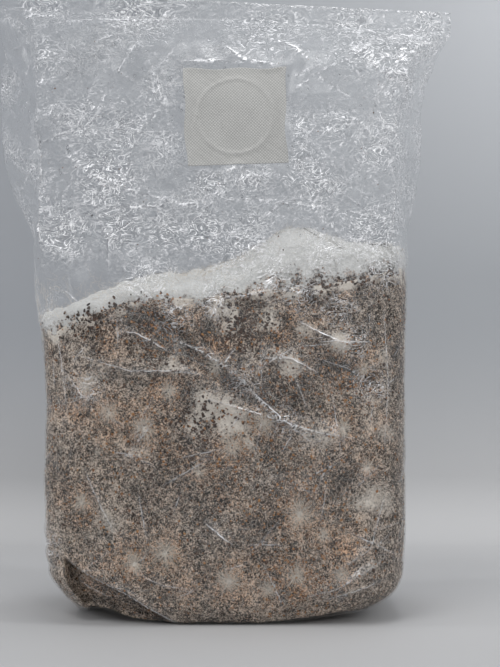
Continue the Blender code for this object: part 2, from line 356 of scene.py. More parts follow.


# The folds: the long ones listed, and the rest at random, denser above the block and in the
# zones where hands have crushed the film. The film is smooth round the patch.
patch_x, patch_z = 0.0102, 0.2878
from_patch = np.maximum(np.abs(film_run - patch_x), np.abs(film_height - patch_z))
off_patch = even_step(0.0285, 0.036, from_patch)
CRINKLED = zone_table(
    (-118, 240, 22, 1), (-88, 222, 18, 0.9), (-62, 252, 18, 1), (-75, 282, 16, 0.6),
    (-52, 278, 14, 0.8), (-55, 224, 16, 0.9), (-30, 222, 14, 0.8), (-8, 222, 14, 1),
    (8, 214, 16, 0.9), (-4, 252, 12, 0.9), (20, 254, 13, 0.8), (45, 262, 15, 1), (58, 250, 14, 1),
    (46, 282, 10, 0.7), (68, 283, 14, 0.6), (88, 268, 15, 0.7), (100, 285, 14, 0.6),
    (78, 334, 16, 1.1), (100, 338, 20, 1.2), (120, 342, 16, 1.2), (100, 318, 16, 0.8),
    (105, 300, 14, 0.6), (88, 222, 16, 1), (98, 205, 14, 0.8), (60, 212, 12, 0.7),
    (18, 228, 9, 0.7), (-118, 332, 16, 0.9), (-100, 318, 12, 0.5), (-45, 352, 18, 0.8),
    (20, 350, 20, 0.6), (-30, 268, 12, 0.5), (-125, 280, 16, 0.5), (-34, 300, 10, 0.5),
    (-45, 196, 14, 0.8), (30, 199, 12, 0.7), (48, 187, 9, 0.6), (70, 178, 10, 0.45),
    (-4, 186, 10, 0.8), (36, 116, 8, 0.6), (-28, 176, 10, 0.6), (12, 140, 12, 0.4),
    (80, 160, 10, 0.5), (-85, 135, 12, 0.4), (90, 136, 10, 0.5), (114, 310, 18, 0.8),
    (114, 270, 18, 0.7), (112, 235, 18, 0.8), (-116, 300, 18, 0.5), (-125, 250, 22, 1),
    (-122, 215, 20, 0.9), (-128, 320, 20, 0.8), (60, 354, 14, 0.9), (100, 356, 16, 1.1),
    (-90, 354, 14, 0.6),
)
drift = np.sin(film_run * 61 + 1.7 * np.sin(film_height * 73))
drift = drift * np.sin(film_height * 88 + film_run * 31)
crinkle_zone = 0.035 + 0.05 * drift
for zone_x, zone_z, radius, strength in CRINKLED:
    away = ((film_run - zone_x) ** 2 + (film_height - zone_z) ** 2) / radius**2
    crinkle_zone = np.maximum(crinkle_zone, strength * np.exp(-away))
crinkle_zone = crinkle_zone + 0.05 * even_step(0.20, 0.23, film_height)
behind = (np.abs(film_run) > PANEL / 2 + 0.02) * 1.0
crinkle_zone = np.maximum(crinkle_zone, behind * (0.10 + 0.50 * drift))
crinkle_zone = crinkle_zone * off_patch * even_step(0.0, 0.02, film_height)

loose = even_step(0.185, 0.225, film_height)
below_seal = 1 - even_step(0.338, 0.350, film_height)
slack = loose * below_seal * off_patch
tight = (1 - loose) * even_step(0.004, 0.02, film_height)
busy = slack * np.clip(0.25 + 0.9 * crinkle_zone, 0, 1)
crushed = np.clip(crinkle_zone, 0, 1)
fold_rng = np.random.default_rng(41)
folds = FoldField(bag_points.shape[:2])
for path, width, rise, white in FRONT_FOLDS:
    path = np.array(path) / 1000
    fold_line(folds, film_run, film_height, path, width / 1000, rise / 1000, white)
# Random folds: their number, their lengths, widths, rises, heights and whiteness as
# (least, most), and the share of each part of the film in them.
RANDOM_FOLDS = (
    (60, (0.03, 0.08), (0.008, 0.018), (0.0008, 0.0022), (0.2, 0.34), (0.1, 0.6), slack),
    (480, (0.008, 0.026), (0.003, 0.007), (0.0004, 0.0011), (0.19, 0.35), (0.2, 0.9), busy),
    (4200, (0.003, 0.011), (0.0016, 0.0034), (0.0002, 0.0006), (0.175, 0.35), (0.3, 1.2), crushed),
    (220, (0.010, 0.040), (0.003, 0.007), (0.0002, 0.0008), (0.01, 0.2), (0.0, 0.6), tight),
)
for kind in RANDOM_FOLDS:
    random_folds(folds, film_run, film_height, fold_rng, *kind)
folds.white *= 1 - 0.35 * tight
flat_out = 1 - even_step(SEAL_FOOT - 0.012, SEAL_FOOT - 0.002, film_height)
film_points = bag_points + bag_normals * (folds.rise * flat_out)[..., None]
film_points[..., 2] = np.maximum(film_points[..., 2], 0.0002)


def add_mesh(name, points, *faces, smooth=True):
    """A mesh object at the origin, from an array of points and one or more arrays of faces."""
    mesh = bpy.data.meshes.new(name)
    corners = [face for group in faces for face in group.tolist()]
    mesh.from_pydata(points.reshape(-1, 3).tolist(), [], corners)
    mesh.update()
    if smooth:
        mesh.shade_smooth()
    made = bpy.data.objects.new(name, mesh)
    bpy.context.scene.collection.objects.link(made)
    return made


def tube_faces(rows, columns):
    """Quads of a grid that closes on itself round its columns, facing out."""
    row = np.arange(rows - 1)[:, None] * columns
    column = np.arange(columns)[None, :]
    after = (column + 1) % columns
    quads = [row + column, row + after, row + columns + after, row + columns + column]
    return np.stack(quads, axis=-1).reshape(-1, 4)


def zip_faces(first, columns, flip=False):
    """Quads that join the front half of one ring of columns to its back half, from end to end."""
    front = np.arange(-COLUMNS_GUSSET // 2, COLUMNS_PANEL + COLUMNS_GUSSET // 2)
    back = COLUMNS_PANEL - front
    back = COLUMNS_PANEL + COLUMNS_GUSSET + back
    quads = [front, front + 1, back - 1, back]
    quads = first + np.stack([side % columns for side in quads], axis=-1)
    return quads[:, ::-1] if flip else quads


def set_mark(made, name, values):
    """Stores one number for each vertex, for the material to read."""
    mark = made.data.attributes.new(name, "FLOAT", "POINT")
    mark.data.foreach_set("value", np.ascontiguousarray(values, dtype=np.float32).ravel())


film_rows = film_points.shape[0]
film_faces = np.concatenate(
    [
        tube_faces(film_rows, FILM_COLUMNS),
        zip_faces(0, FILM_COLUMNS, flip=True),
        zip_faces((film_rows - 1) * FILM_COLUMNS, FILM_COLUMNS),
    ]
)
film = add_mesh("bag_film", film_points, film_faces)
set_mark(film, "fold", folds.near)
set_mark(film, "white", folds.white)
set_mark(film, "crinkle", crinkle_zone)


def new_group(name, inputs, outputs):
    """A shader node group with named sockets, what comes into it, and what it gives out."""
    group = bpy.data.node_groups.new(name, "ShaderNodeTree")
    for label, kind, value in inputs:
        socket = group.interface.new_socket(label, in_out="INPUT", socket_type="NodeSocket" + kind)
        if value is not None:
            socket.default_value = value
    for label, kind in outputs:
        group.interface.new_socket(label, in_out="OUTPUT", socket_type="NodeSocket" + kind)
    coming_in = group.nodes.new("NodeGroupInput").outputs
    return group, coming_in, group.nodes.new("NodeGroupOutput").inputs


def add_node(tree, kind, values=None, **settings):
    """A node with its settings, and each input's value or the socket that feeds it."""
    node = tree.nodes.new("ShaderNode" + kind)
    for name, setting in settings.items():
        setattr(node, name, setting)
    for name, value in (values or {}).items():
        if isinstance(value, bpy.types.NodeSocket):
            tree.links.new(value, node.inputs[name])
        else:
            node.inputs[name].default_value = value
    return node


def math_node(tree, operation, first, second=0.0, third=0.0, clamp=False):
    """The result of one Math node. MULTIPLY_ADD gives the first times the second, plus the
    third."""
    values = {0: first, 1: second, 2: third}
    return add_node(tree, "Math", values, operation=operation, use_clamp=clamp).outputs[0]


def map_node(tree, value, low, high, least=0.0, most=1.0, **settings):
    """A number that runs from least to most as the value goes from low to high, and stays
    between them."""
    values = {"Value": value, "From Min": low, "From Max": high, "To Min": least, "To Max": most}
    return add_node(tree, "MapRange", values, **settings).outputs[0]


def noise_node(tree, place, scale, detail, roughness=0.5, distortion=0.0):
    """Noise from 0 to 1 at each place, with scale waves to the metre."""
    values = {"Vector": place, "Scale": scale, "Detail": detail}
    values.update({"Roughness": roughness, "Distortion": distortion})
    return add_node(tree, "TexNoise", values).outputs["Fac"]


def bump_node(tree, height, strength, distance):
    """The surface's normal, tilted by a height times the distance."""
    values = {"Height": height, "Strength": strength, "Distance": distance}
    return add_node(tree, "Bump", values).outputs[0]


def use_group(tree, group, **values):
    """What a node group gives out for these values."""
    return add_node(tree, "Group", values, node_tree=group).outputs


def add_material(name):
    """An empty node material, its nodes, and the socket that takes its shader."""
    made = bpy.data.materials.new(name)
    made.use_nodes = True
    made.node_tree.nodes.clear()
    output = made.node_tree.nodes.new("ShaderNodeOutputMaterial")
    return made, made.node_tree, output.inputs["Surface"]


# Fine crinkles of film: the film turns sharply where a bent noise passes one of a few levels,
# so the lines run in loops as the edges of crushed film do. Lines marks where the film is
# whitened, partly as painted highlight, and Shade where it is darkened as painted shade.
crinkle_group, given, result = new_group(
    "film crinkle",
    [("Vector", "Vector", None), ("Size", "Float", 0.004), ("Levels", "Float", 7.0)],
    [("Height", "Float"), ("Lines", "Float"), ("Shade", "Float")],
)
crinkle_scale = math_node(crinkle_group, "DIVIDE", 1.0, given["Size"])
values = {"Vector": given["Vector"], "Rotation": (0.0, 0.6, 0.0), "Scale": (1.0, 1.0, 1.7)}
slanted = add_node(crinkle_group, "Mapping", values).outputs[0]
crush = noise_node(crinkle_group, slanted, crinkle_scale, 2.0, 0.55, 0.9)
stepped = math_node(crinkle_group, "MULTIPLY", crush, given["Levels"])
level = math_node(crinkle_group, "PINGPONG", stepped, 0.5)
crinkle_group.links.new(level, result["Height"])
crinkle_group.links.new(map_node(crinkle_group, level, 0.02, 0.14, 1.0, 0.0), result["Lines"])
crinkle_group.links.new(map_node(crinkle_group, level, 0.34, 0.46), result["Shade"])

# The whitened line along a long fold, partly the haze of creased film and partly a painted
# highlight, with a thin line of painted shade beside it and a soft painted glow round it. Fold
# is the distance to the fold.
fold_group, given, result = new_group(
    "fold line",
    [("Fold", "Float", 1.0), ("White", "Float", 0.0), ("Vector", "Vector", None)],
    [("White", "Float"), ("Shade", "Float"), ("Soft", "Float")],
)
wobble = noise_node(fold_group, given["Vector"], 420.0, 1.0)
offset = math_node(fold_group, "MULTIPLY_ADD", wobble, 0.0016, -0.0008)
middle = math_node(fold_group, "ADD", given["Fold"], offset)
uneven = map_node(fold_group, wobble, 0.35, 0.6, 0.3)
# Each as its shift to the side, and the distances where it starts to fade and where it is gone.
FOLD_LINES = (
    ("White", -0.0003, 0.00012, 0.00042),
    ("Shade", 0.0005, 0.0002, 0.0007),
    ("Soft", 0.0, 0.0, 0.0026),
)
for name, shift, near, far in FOLD_LINES:
    away = math_node(fold_group, "ABSOLUTE", math_node(fold_group, "ADD", middle, shift))
    line = map_node(fold_group, away, near, far, 1.0, 0.0)
    if name == "White":
        line = math_node(fold_group, "MULTIPLY", line, uneven)
    line = math_node(fold_group, "MULTIPLY", line, given["White"])
    fold_group.links.new(line, result[name])


def read_mark(tree, name):
    """The number stored on the surface under this name."""
    return add_node(tree, "Attribute", attribute_name=name).outputs["Fac"]


def mix_colour(tree, share, first, second, **settings):
    """A blend of two colours, or sockets, by a share."""
    values = {"Factor": share, "A": first, "B": second}
    return add_node(tree, "Mix", values, data_type="RGBA", **settings).outputs["Result"]


def glossy(tree, colour, roughness, normal):
    """A mirror of a colour, blurred by its roughness."""
    values = {"Color": colour, "Roughness": roughness, "Normal": normal}
    return add_node(tree, "BsdfGlossy", values).outputs[0]


def mix_shader(tree, share, first, second):
    """A blend of two shaders by a share."""
    return add_node(tree, "MixShader", {0: share, 1: first, 2: second}).outputs[0]


# Clear film: what is behind shows through, with a shine that grows towards its edges. Crushed
# film is whitened and glints along its lines: partly the haze of creased film, partly painted
# highlight, a white diffuse with a glossy added on top. Between and beside the lines the film's
# clear colour is darkened, which is painted shade.
film_skin, tree, surface = add_material("clear film")
place = add_node(tree, "TexCoord").outputs["Object"]
crinkle = read_mark(tree, "crinkle")
fine = use_group(tree, crinkle_group, Vector=place, Size=0.0095, Levels=8.0)
fine_height = math_node(tree, "MULTIPLY", fine["Height"], crinkle)
film_normal = bump_node(tree, fine_height, 1.0, 0.0014)
facing = add_node(tree, "LayerWeight", {"Blend": 0.5, "Normal": film_normal}).outputs["Facing"]
grazing = math_node(tree, "POWER", facing, 4.0)
glance = math_node(tree, "MULTIPLY_ADD", grazing, 0.50, 0.035)
fold, white = read_mark(tree, "fold"), read_mark(tree, "white")
long_fold = use_group(tree, fold_group, Fold=fold, White=white, Vector=place)
# Painted shade: dark lines between the crinkle lines and beside the long folds dim the film's clear
# colour.
painted_crinkle_shade = math_node(tree, "MULTIPLY", fine["Shade"], crinkle)
painted_crinkle_shade = math_node(tree, "MULTIPLY", painted_crinkle_shade, 0.9, clamp=True)
painted_shade_mark = math_node(tree, "MAXIMUM", painted_crinkle_shade, long_fold["Shade"])
tint = mix_colour(tree, painted_shade_mark, (0.982, 0.984, 0.986, 1), (0.60, 0.605, 0.615, 1))
clear = add_node(tree, "BsdfTransparent", {"Color": tint}).outputs[0]
shine = glossy(tree, (1.0, 1.0, 1.0, 1.0), 0.27, film_normal)
glazed = mix_shader(tree, glance, clear, shine)
# Painted highlight: white lines along the crinkles and folds, a white diffuse with a glossy added on
# top, partly the haze of crushed film.
haze_and_painted_glint_white = add_node(tree, "BsdfDiffuse", {"Color": (0.62, 0.62, 0.63, 1.0)}).outputs[0]
glint = glossy(tree, (0.60, 0.60, 0.61, 1.0), 0.36, film_normal)
whitened = add_node(tree, "AddShader", {0: haze_and_painted_glint_white, 1: glint}).outputs[0]
crinkle_haze_and_painted_glint = math_node(tree, "MULTIPLY", fine["Lines"], crinkle)
crinkle_haze_and_painted_glint = math_node(tree, "MULTIPLY", crinkle_haze_and_painted_glint, 1.35, clamp=True)
painted_fold_glow = math_node(tree, "MULTIPLY", long_fold["Soft"], 0.14)
fold_haze_and_painted_glint = math_node(tree, "MULTIPLY_ADD", long_fold["White"], 1.3, painted_fold_glow)
haze_and_painted_glint_share = math_node(tree, "MAXIMUM", crinkle_haze_and_painted_glint, fold_haze_and_painted_glint)
haze_and_painted_glint_share = math_node(tree, "ADD", haze_and_painted_glint_share, 0.006, clamp=True)
hazy_with_painted_glints = mix_shader(tree, haze_and_painted_glint_share, glazed, whitened)
light_in = add_node(tree, "BsdfTransparent", {"Color": (0.93, 0.93, 0.93, 1.0)}).outputs[0]
shadow_ray = add_node(tree, "LightPath").outputs["Is Shadow Ray"]
tree.links.new(mix_shader(tree, shadow_ray, hazy_with_painted_glints, light_in), surface)
film.data.materials.append(film_skin)
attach(film, "root")
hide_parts("grow_bag")

# ---------------------------------------------------------------------------------------------
# The filter patch. A square of white nonwoven cloth that lets air through, embossed with small
# diamonds and welded to the film in a ring over the vent.
# ---------------------------------------------------------------------------------------------
PATCH_WIDE = 0.0565
PATCH_TALL = 0.0550
PATCH_TURN = math.radians(3.0)
PATCH_THICK = 0.0005
WELD_RADIUS = 0.0212
WELD_WIDTH = 0.0014
PATCH_CELLS = 120


def grid_sample(grid, rows, columns):
    """Reads a tube grid at fractional rows and columns, on straight runs between its points."""
    row = np.clip(np.floor(rows).astype(int), 0, grid.shape[0] - 2)
    up = (rows - row)[..., None]
    column = np.floor(columns).astype(int)
    side = (columns - column)[..., None]
    near = column % grid.shape[1]
    beyond = (column + 1) % grid.shape[1]
    low = grid[row, near] * (1 - side) + grid[row, beyond] * side
    high = grid[row + 1, near] * (1 - side) + grid[row + 1, beyond] * side
    return low * (1 - up) + high * up


all_runs = np.append(bag_run, bag_run[0] + AROUND)


def film_place(run, height):
    """The fractional column and row of a place on the film, from its distance round the tube
    and its height along it."""
    wrapped = (run - bag_run[0]) % AROUND + bag_run[0]
    columns = np.interp(wrapped, all_runs, np.arange(FILM_COLUMNS + 1.0))
    rows = np.interp(height, bag_heights[ROWS_UNDER:], np.arange(ROWS_UNDER, len(bag_heights)))
    return rows, columns


def on_film(run, height, inset):
    """Points at a depth behind the film."""
    rows, columns = film_place(run, height)
    depth = np.broadcast_to(inset, rows.shape)[..., None]
    return grid_sample(film_points, rows, columns) - grid_sample(bag_normals, rows, columns) * depth


def grid_noise(points, size, seed):
    """Smooth noise from -1 to 1 on any array of points: random values at the corners of cubes
    of the given size, mixed by an even curve between them."""
    scaled = points / size
    low = np.floor(scaled).astype(np.int64)
    share = scaled - low
    share = share * share * (3 - 2 * share)
    table = np.random.default_rng(seed).uniform(-1, 1, 4096)
    total = 0.0
    for corner in range(8):
        step = np.array([(corner >> k) & 1 for k in range(3)])
        cell = low + step
        key = (cell[..., 0] * 73856093) ^ (cell[..., 1] * 19349663) ^ (cell[..., 2] * 83492791)
        weight = np.prod(np.where(step == 1, share, 1 - share), axis=-1)
        total = total + table[key & 4095] * weight
    return total


def ring_faces(rows, columns):
    """Quads of an open grid of rows and columns."""
    row = np.arange(rows - 1)[:, None] * columns
    column = np.arange(columns - 1)[None, :]
    near = row + column
    return np.stack([near, near + 1, near + columns + 1, near + columns], axis=-1).reshape(-1, 4)


def patch_sheet():
    """The patch's front and back faces, as grids over a turned square. The front rises by a
    rounded ring at the weld, and both follow the film and wave a little along the top edge."""
    share = np.linspace(-0.5, 0.5, PATCH_CELLS + 1)
    across, up = np.meshgrid(share * PATCH_WIDE, share * PATCH_TALL)
    run = patch_x + across * math.cos(PATCH_TURN) - up * math.sin(PATCH_TURN)
    height = patch_z + across * math.sin(PATCH_TURN) + up * math.cos(PATCH_TURN)
    run = run + 0.0007 * even_step(0.015, 0.028, np.abs(across)) * np.sin(up * 190)
    height = height + 0.0006 * even_step(0.015, 0.028, up) * np.sin(across * 230 + 1.0)
    away = np.hypot(across, up)
    ring = np.exp(-(((away - WELD_RADIUS) / WELD_WIDTH) ** 2))
    inner = 1 - even_step(WELD_RADIUS - 0.003, WELD_RADIUS - 0.0005, away)
    curl = even_step(0.024, 0.0285, np.maximum(np.abs(across), up))
    wave = 0.5 + 0.5 * np.sin(across * 160 + 0.8) * np.sin(up * 140)
    base = 0.00035 + 0.0010 * curl * wave
    puff = 0.0006 * inner * (1 - (away / WELD_RADIUS) ** 2)
    wrinkle = 0.00006 * np.sin((across + 0.6 * up) * 900 + 3 * np.sin(up * 300)) * (1 - inner)
    back = on_film(run, height, -base)
    front = on_film(run, height, -(base + PATCH_THICK + 0.00060 * ring + puff + wrinkle))
    return front, back


def closed_sheet(front, back):
    """Joins two equal open grids by their edges. Gives the points and the faces, facing out."""
    rows, columns = front.shape[:2]
    count = rows * columns
    faces = ring_faces(rows, columns)
    numbers = np.arange(count).reshape(rows, columns)
    edge = np.concatenate(
        [numbers[0, :-1], numbers[:-1, -1], numbers[-1, :0:-1], numbers[:0:-1, 0]]
    )
    after = np.roll(edge, -1)
    wall = np.stack([edge + count, after + count, after, edge], axis=-1)
    return np.concatenate([front.reshape(-1, 3), back.reshape(-1, 3)]), np.concatenate(
        [faces, faces[:, ::-1] + count, wall]
    )


patch = add_mesh("filter_cloth", *closed_sheet(*patch_sheet()))
EMBOSS_PITCH = 0.00125
cloth, tree, surface = add_material("embossed filter cloth")
place = add_node(tree, "TexCoord").outputs["Object"]
values = {"Vector": place, "Location": (-patch_x, 0, -patch_z), "Rotation": (0, PATCH_TURN, 0)}
turned = add_node(tree, "Mapping", values, vector_type="POINT")
axes = add_node(tree, "SeparateXYZ", {0: turned.outputs[0]})
diagonals = []
for sign in (1.0, -1.0):
    slanted = math_node(tree, "MULTIPLY_ADD", axes.outputs["Z"], sign, axes.outputs["X"])
    slanted = math_node(tree, "MULTIPLY", slanted, math.pi / (EMBOSS_PITCH * math.sqrt(2)))
    diagonals.append(math_node(tree, "SINE", slanted))
emboss = math_node(tree, "MULTIPLY", diagonals[0], diagonals[1])
emboss = math_node(tree, "ABSOLUTE", emboss)
relief = math_node(tree, "ADD", emboss, noise_node(tree, place, 1800.0, 2.0))
cloth_normal = bump_node(tree, relief, 0.7, 0.00022)
shade = map_node(tree, noise_node(tree, place, 90.0, 3.0), 0.0, 1.0, 0.82, 1.0)
# The cloth is darker along the low lines of the emboss.
emboss_line_tone = map_node(tree, emboss, 0.0, 0.45, 0.63, 1.02)
shade = math_node(tree, "MULTIPLY", shade, emboss_line_tone)
tint = mix_colour(tree, shade, (0.0, 0.0, 0.0, 1), (0.74, 0.735, 0.71, 1))
coat = add_node(tree, "BsdfPrincipled", {"Base Color": tint, "Roughness": 0.8})
tree.links.new(cloth_normal, coat.inputs["Normal"])
coat.inputs["Sheen Weight"].default_value = 0.15
coat.inputs["Specular IOR Level"].default_value = 0.3
tree.links.new(coat.outputs[0], surface)
patch.data.materials.append(cloth)
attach(patch, "root")
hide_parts("filter_patch")

# ---------------------------------------------------------------------------------------------
# The block of substrate. Damp sawdust and bran, pressed by hand into the bag and bound by the
# mycelium, so its sides take the shape of the film that they lie against.
# ---------------------------------------------------------------------------------------------
BLOCK_INSET = 0.0011
BLOCK_COLUMNS = 520
BLOCK_SIDE_ROWS = 160
BLOCK_CAP_ROWS = 10
# Where the brown substrate gives way to the white mat on the front, as x and height.
RIM_X = (-0.0986, -0.0679, -0.0455, -0.0120, 0.0216, 0.0440, 0.0719, 0.0999)
RIM_HEIGHT = (0.1670, 0.1783, 0.1839, 0.1839, 0.1890, 0.1924, 0.1952, 0.2009)


def rim_height_at(x):
    """Height of the block's upper edge at each x."""
    return np.interp(x, RIM_X, RIM_HEIGHT)


block_run = np.linspace(bag_run[0], bag_run[0] + AROUND, BLOCK_COLUMNS, endpoint=False)[None, :]
rim_guess = on_film(block_run, np.full((1, BLOCK_COLUMNS), 0.185), 0.0)
rim_height = rim_height_at(rim_guess[..., 0]) + 0.0022 * grid_noise(rim_guess, 0.014, 5)
rim_rows, block_columns = film_place(block_run, rim_height)
wall_rows = np.linspace(0.0, 1.0, BLOCK_SIDE_ROWS)[:, None] * rim_rows
block_columns = np.broadcast_to(block_columns, wall_rows.shape)
wall_points = grid_sample(film_points, wall_rows, block_columns)
wall_normals = grid_sample(bag_normals, wall_rows, block_columns)
grain = 0.00040 * grid_noise(wall_points, 0.0017, 11) + 0.0005 * grid_noise(wall_points, 0.0048, 12)
inset = BLOCK_INSET - np.clip(grain, -0.001, 0.0006)
wall_points = wall_points - wall_normals * inset[..., None]
wall_points[..., 2] = np.maximum(wall_points[..., 2], 0.0009)
cap_share = np.linspace(0.96, 0.02, BLOCK_CAP_ROWS)[:, None, None]
rim_points = wall_points[-1][None]
rim_middle = rim_points.mean(axis=1, keepdims=True)
cap_points = rim_middle + (rim_points - rim_middle) * cap_share
cap_points[..., 2] = rim_height_at(cap_points[..., 0]) + 0.0015 * grid_noise(cap_points, 0.008, 6)
block_points = np.concatenate([wall_points, cap_points])


def close_ends(made):
    """Fills the open rings at the ends of a tube and merges points that have met."""
    work = bmesh.new()
    work.from_mesh(made.data)
    bmesh.ops.remove_doubles(work, verts=work.verts, dist=1e-6)
    rim = [edge for edge in work.edges if edge.is_boundary]
    bmesh.ops.holes_fill(work, edges=rim, sides=0)
    work.to_mesh(made.data)
    work.free()


# Zones of the front: white growth, dark wet sawdust with painted shade along two folds, warm bran.
WHITE_PATCHES = zone_table(
    (14, 175, 12, 1), (26, 173, 10, 0.9), (0, 180, 9, 0.8), (18, 156, 10, 0.55),
    (39, 145, 8, 0.9), (-12, 126, 9, 0.95), (4, 118, 12, 0.8), (-18, 116, 8, 0.5),
    (-102, 170, 8, 0.9), (-86, 138, 9, 0.6), (-56, 164, 7, 0.5), (-40, 158, 6, 0.45),
    (92, 66, 16, 0.55), (60, 106, 10, 0.3), (-76, 96, 10, 0.35), (-40, 46, 9, 0.6),
    (52, 62, 10, 0.4), (-70, 60, 10, 0.3), (48, 166, 7, 0.6), (70, 160, 7, 0.6),
    (92, 170, 9, 0.5), (-52, 99, 8, 0.5), (16, 100, 8, 0.5), (90, 30, 12, 0.4), (97, 186, 9, 0.4),
    (100, 152, 12, 0.4), (100, 112, 14, 0.4), (30, 156, 10, 0.5), (4, 168, 8, 0.6),
    (-30, 150, 6, 0.4),
)
# The first six dark zones run down the groove of the deep diagonal fold, and the last four lie on the
# ear just under the lower-left fold: there the dark is painted shade.
DARK_PATCHES = zone_table(
    (-58, 176, 10, 1), (-46, 170, 9, 1), (-34, 164, 8, 0.9), (-20, 156, 8, 1), (-6, 147, 7, 1),
    (8, 138, 6, 1), (66, 191, 9, 1), (54, 190, 7, 1), (80, 188, 8, 0.9), (40, 170, 8, 0.8),
    (70, 176, 10, 0.9), (82, 168, 8, 0.8), (-10, 168, 8, 0.9), (60, 148, 12, 0.5),
    (30, 130, 14, 0.7), (-20, 132, 10, 0.6), (46, 136, 10, 0.6), (-10, 72, 18, 0.6),
    (-60, 152, 10, 0.5), (12, 122, 9, 0.5), (-45, 72, 12, 0.4), (24, 56, 14, 0.5),
    (-70, 110, 12, 0.3), (70, 90, 14, 0.3), (-20, 40, 12, 0.35), (10, 10, 12, 0.3),
    (-90, 30, 10, 0.5), (-78, 22, 8, 0.9), (-62, 14, 7, 0.9), (-46, 5, 6, 0.9),
)
WARM_PATCHES = zone_table(
    (-24, 172, 12, 0.9), (-8, 160, 10, 0.7), (-66, 154, 10, 0.6), (-36, 134, 10, 1),
    (-70, 118, 12, 0.7), (-50, 110, 10, 0.6), (34, 166, 10, 0.9), (52, 176, 12, 0.8),
    (68, 192, 12, 0.9), (72, 150, 10, 0.5), (8, 100, 10, 0.9), (24, 118, 10, 0.7),
    (46, 68, 14, 0.9), (52, 86, 12, 0.6), (70, 46, 14, 0.6), (40, 26, 14, 0.9), (2, 24, 14, 0.8),
    (-30, 20, 14, 0.6), (-94, 120, 12, 0.6), (-92, 70, 14, 0.5), (-62, 40, 14, 0.6),
    (96, 110, 12, 0.6), (94, 150, 10, 0.5), (-86, 18, 12, 0.8), (0, 78, 12, 0.4),
    (-30, 94, 12, 0.4),
)
# Stars of growth where a crumb of spawn started, as (x, height, size) in millimetres.
STARS = (
    (-49, 112, 10), (-71, 121, 8), (-34, 133, 8), (5, 102, 9), (24, 115, 9), (46, 64, 11),
    (73, 112, 7), (2, 26, 10), (44, 29, 9), (27, 21, 7), (72, 30, 7), (-56, 36, 9), (-37, 42, 10),
    (-5, 147, 7), (86, 145, 6), (-86, 135, 6), (60, 52, 6), (-15, 88, 6), (88, 90, 6),
    (-88, 70, 7),
)
STARS = np.array(STARS) / 1000


def spread(run, height, patches, seed):
    """Strength of soft-edged patches at each place. Round the back they follow noise instead."""
    total = np.zeros_like(run)
    for x, up, radius, strength in patches:
        away = ((run - x) ** 2 + (height - up) ** 2) / radius**2
        total = np.maximum(total, strength * np.exp(-away))
    place = np.stack([run, height, np.zeros_like(run)], axis=-1)
    drift = 0.6 * grid_noise(place, 0.018, seed) + 0.4 * grid_noise(place, 0.007, seed + 1)
    at_back = even_step(0.1, 0.13, np.abs(run))
    return np.clip(total * (0.7 + 0.6 * drift) + (0.18 + 0.35 * at_back) * drift, 0, 1)


wall_run = np.broadcast_to((block_run + PANEL / 2) % AROUND - PANEL / 2, wall_rows.shape)
wall_run = np.where(wall_run > AROUND / 2, wall_run - AROUND, wall_run)
wall_height = np.interp(wall_rows, np.arange(len(bag_heights)), bag_heights)
cap_pad = np.zeros((BLOCK_CAP_ROWS, BLOCK_COLUMNS))
growth_and_painted_ridge_light = spread(wall_run, wall_height, WHITE_PATCHES, 21)
dark_sawdust_and_painted_shade = spread(wall_run, wall_height, DARK_PATCHES, 23)
# Painted light from the film's folds: the block is whitened where the film stands out, a painted
# highlight on the ridges, and darkened where it goes in, painted shade in the grooves.
fold_here = grid_sample(folds.rise[..., None], wall_rows, block_columns)[..., 0]
growth_and_painted_ridge_light = np.clip(growth_and_painted_ridge_light + 110 * np.clip(fold_here - 0.0006, 0, 0.0016), 0, 0.8)
dark_sawdust_and_painted_shade = np.clip(dark_sawdust_and_painted_shade + 500 * np.clip(-fold_here - 0.0004, 0, 0.0016), 0, 1)
warm_mark = spread(wall_run, wall_height, WARM_PATCHES, 25)
for x, up, size in STARS:
    away = np.hypot(wall_run - x, wall_height - up) / size
    growth_and_painted_ridge_light = np.maximum(growth_and_painted_ridge_light, 0.75 * np.exp(-((away / 0.34) ** 2)))
    growth_and_painted_ridge_light = np.maximum(growth_and_painted_ridge_light, 0.38 * np.exp(-((away / 1.0) ** 2)))
    warm_mark = np.maximum(warm_mark, 0.8 * np.exp(-((away / 1.2) ** 2)))
near_rim = rim_height - wall_height
top_growth = np.exp(-((near_rim / 0.007) ** 2)) * (0.6 + 0.8 * grid_noise(wall_points, 0.008, 31))
growth_and_painted_ridge_light = np.maximum(growth_and_painted_ridge_light, np.clip(top_growth, 0, 1))

block = add_mesh("substrate", block_points, tube_faces(block_points.shape[0], BLOCK_COLUMNS))
set_mark(block, "white", np.concatenate([growth_and_painted_ridge_light, cap_pad + 0.9]))
set_mark(block, "dark", np.concatenate([dark_sawdust_and_painted_shade, cap_pad]))
set_mark(block, "warm", np.concatenate([warm_mark, cap_pad]))
close_ends(block)


# Sawdust and bran: mottled browns, with flecks of bark and bran, one to each random cell.
grit_group, given, result = new_group(
    "sawdust and bran",
    [("Vector", "Vector", None), ("Dark", "Float", 0.0), ("Warm", "Float", 0.0)],
    [("Color", "Color")],
)
mottle = noise_node(grit_group, given["Vector"], 900.0, 3.0, 0.7, 1.4)
clods = noise_node(grit_group, given["Vector"], 210.0, 3.0, 0.7)
drift = noise_node(grit_group, given["Vector"], 45.0, 2.0)
tone = -1.085
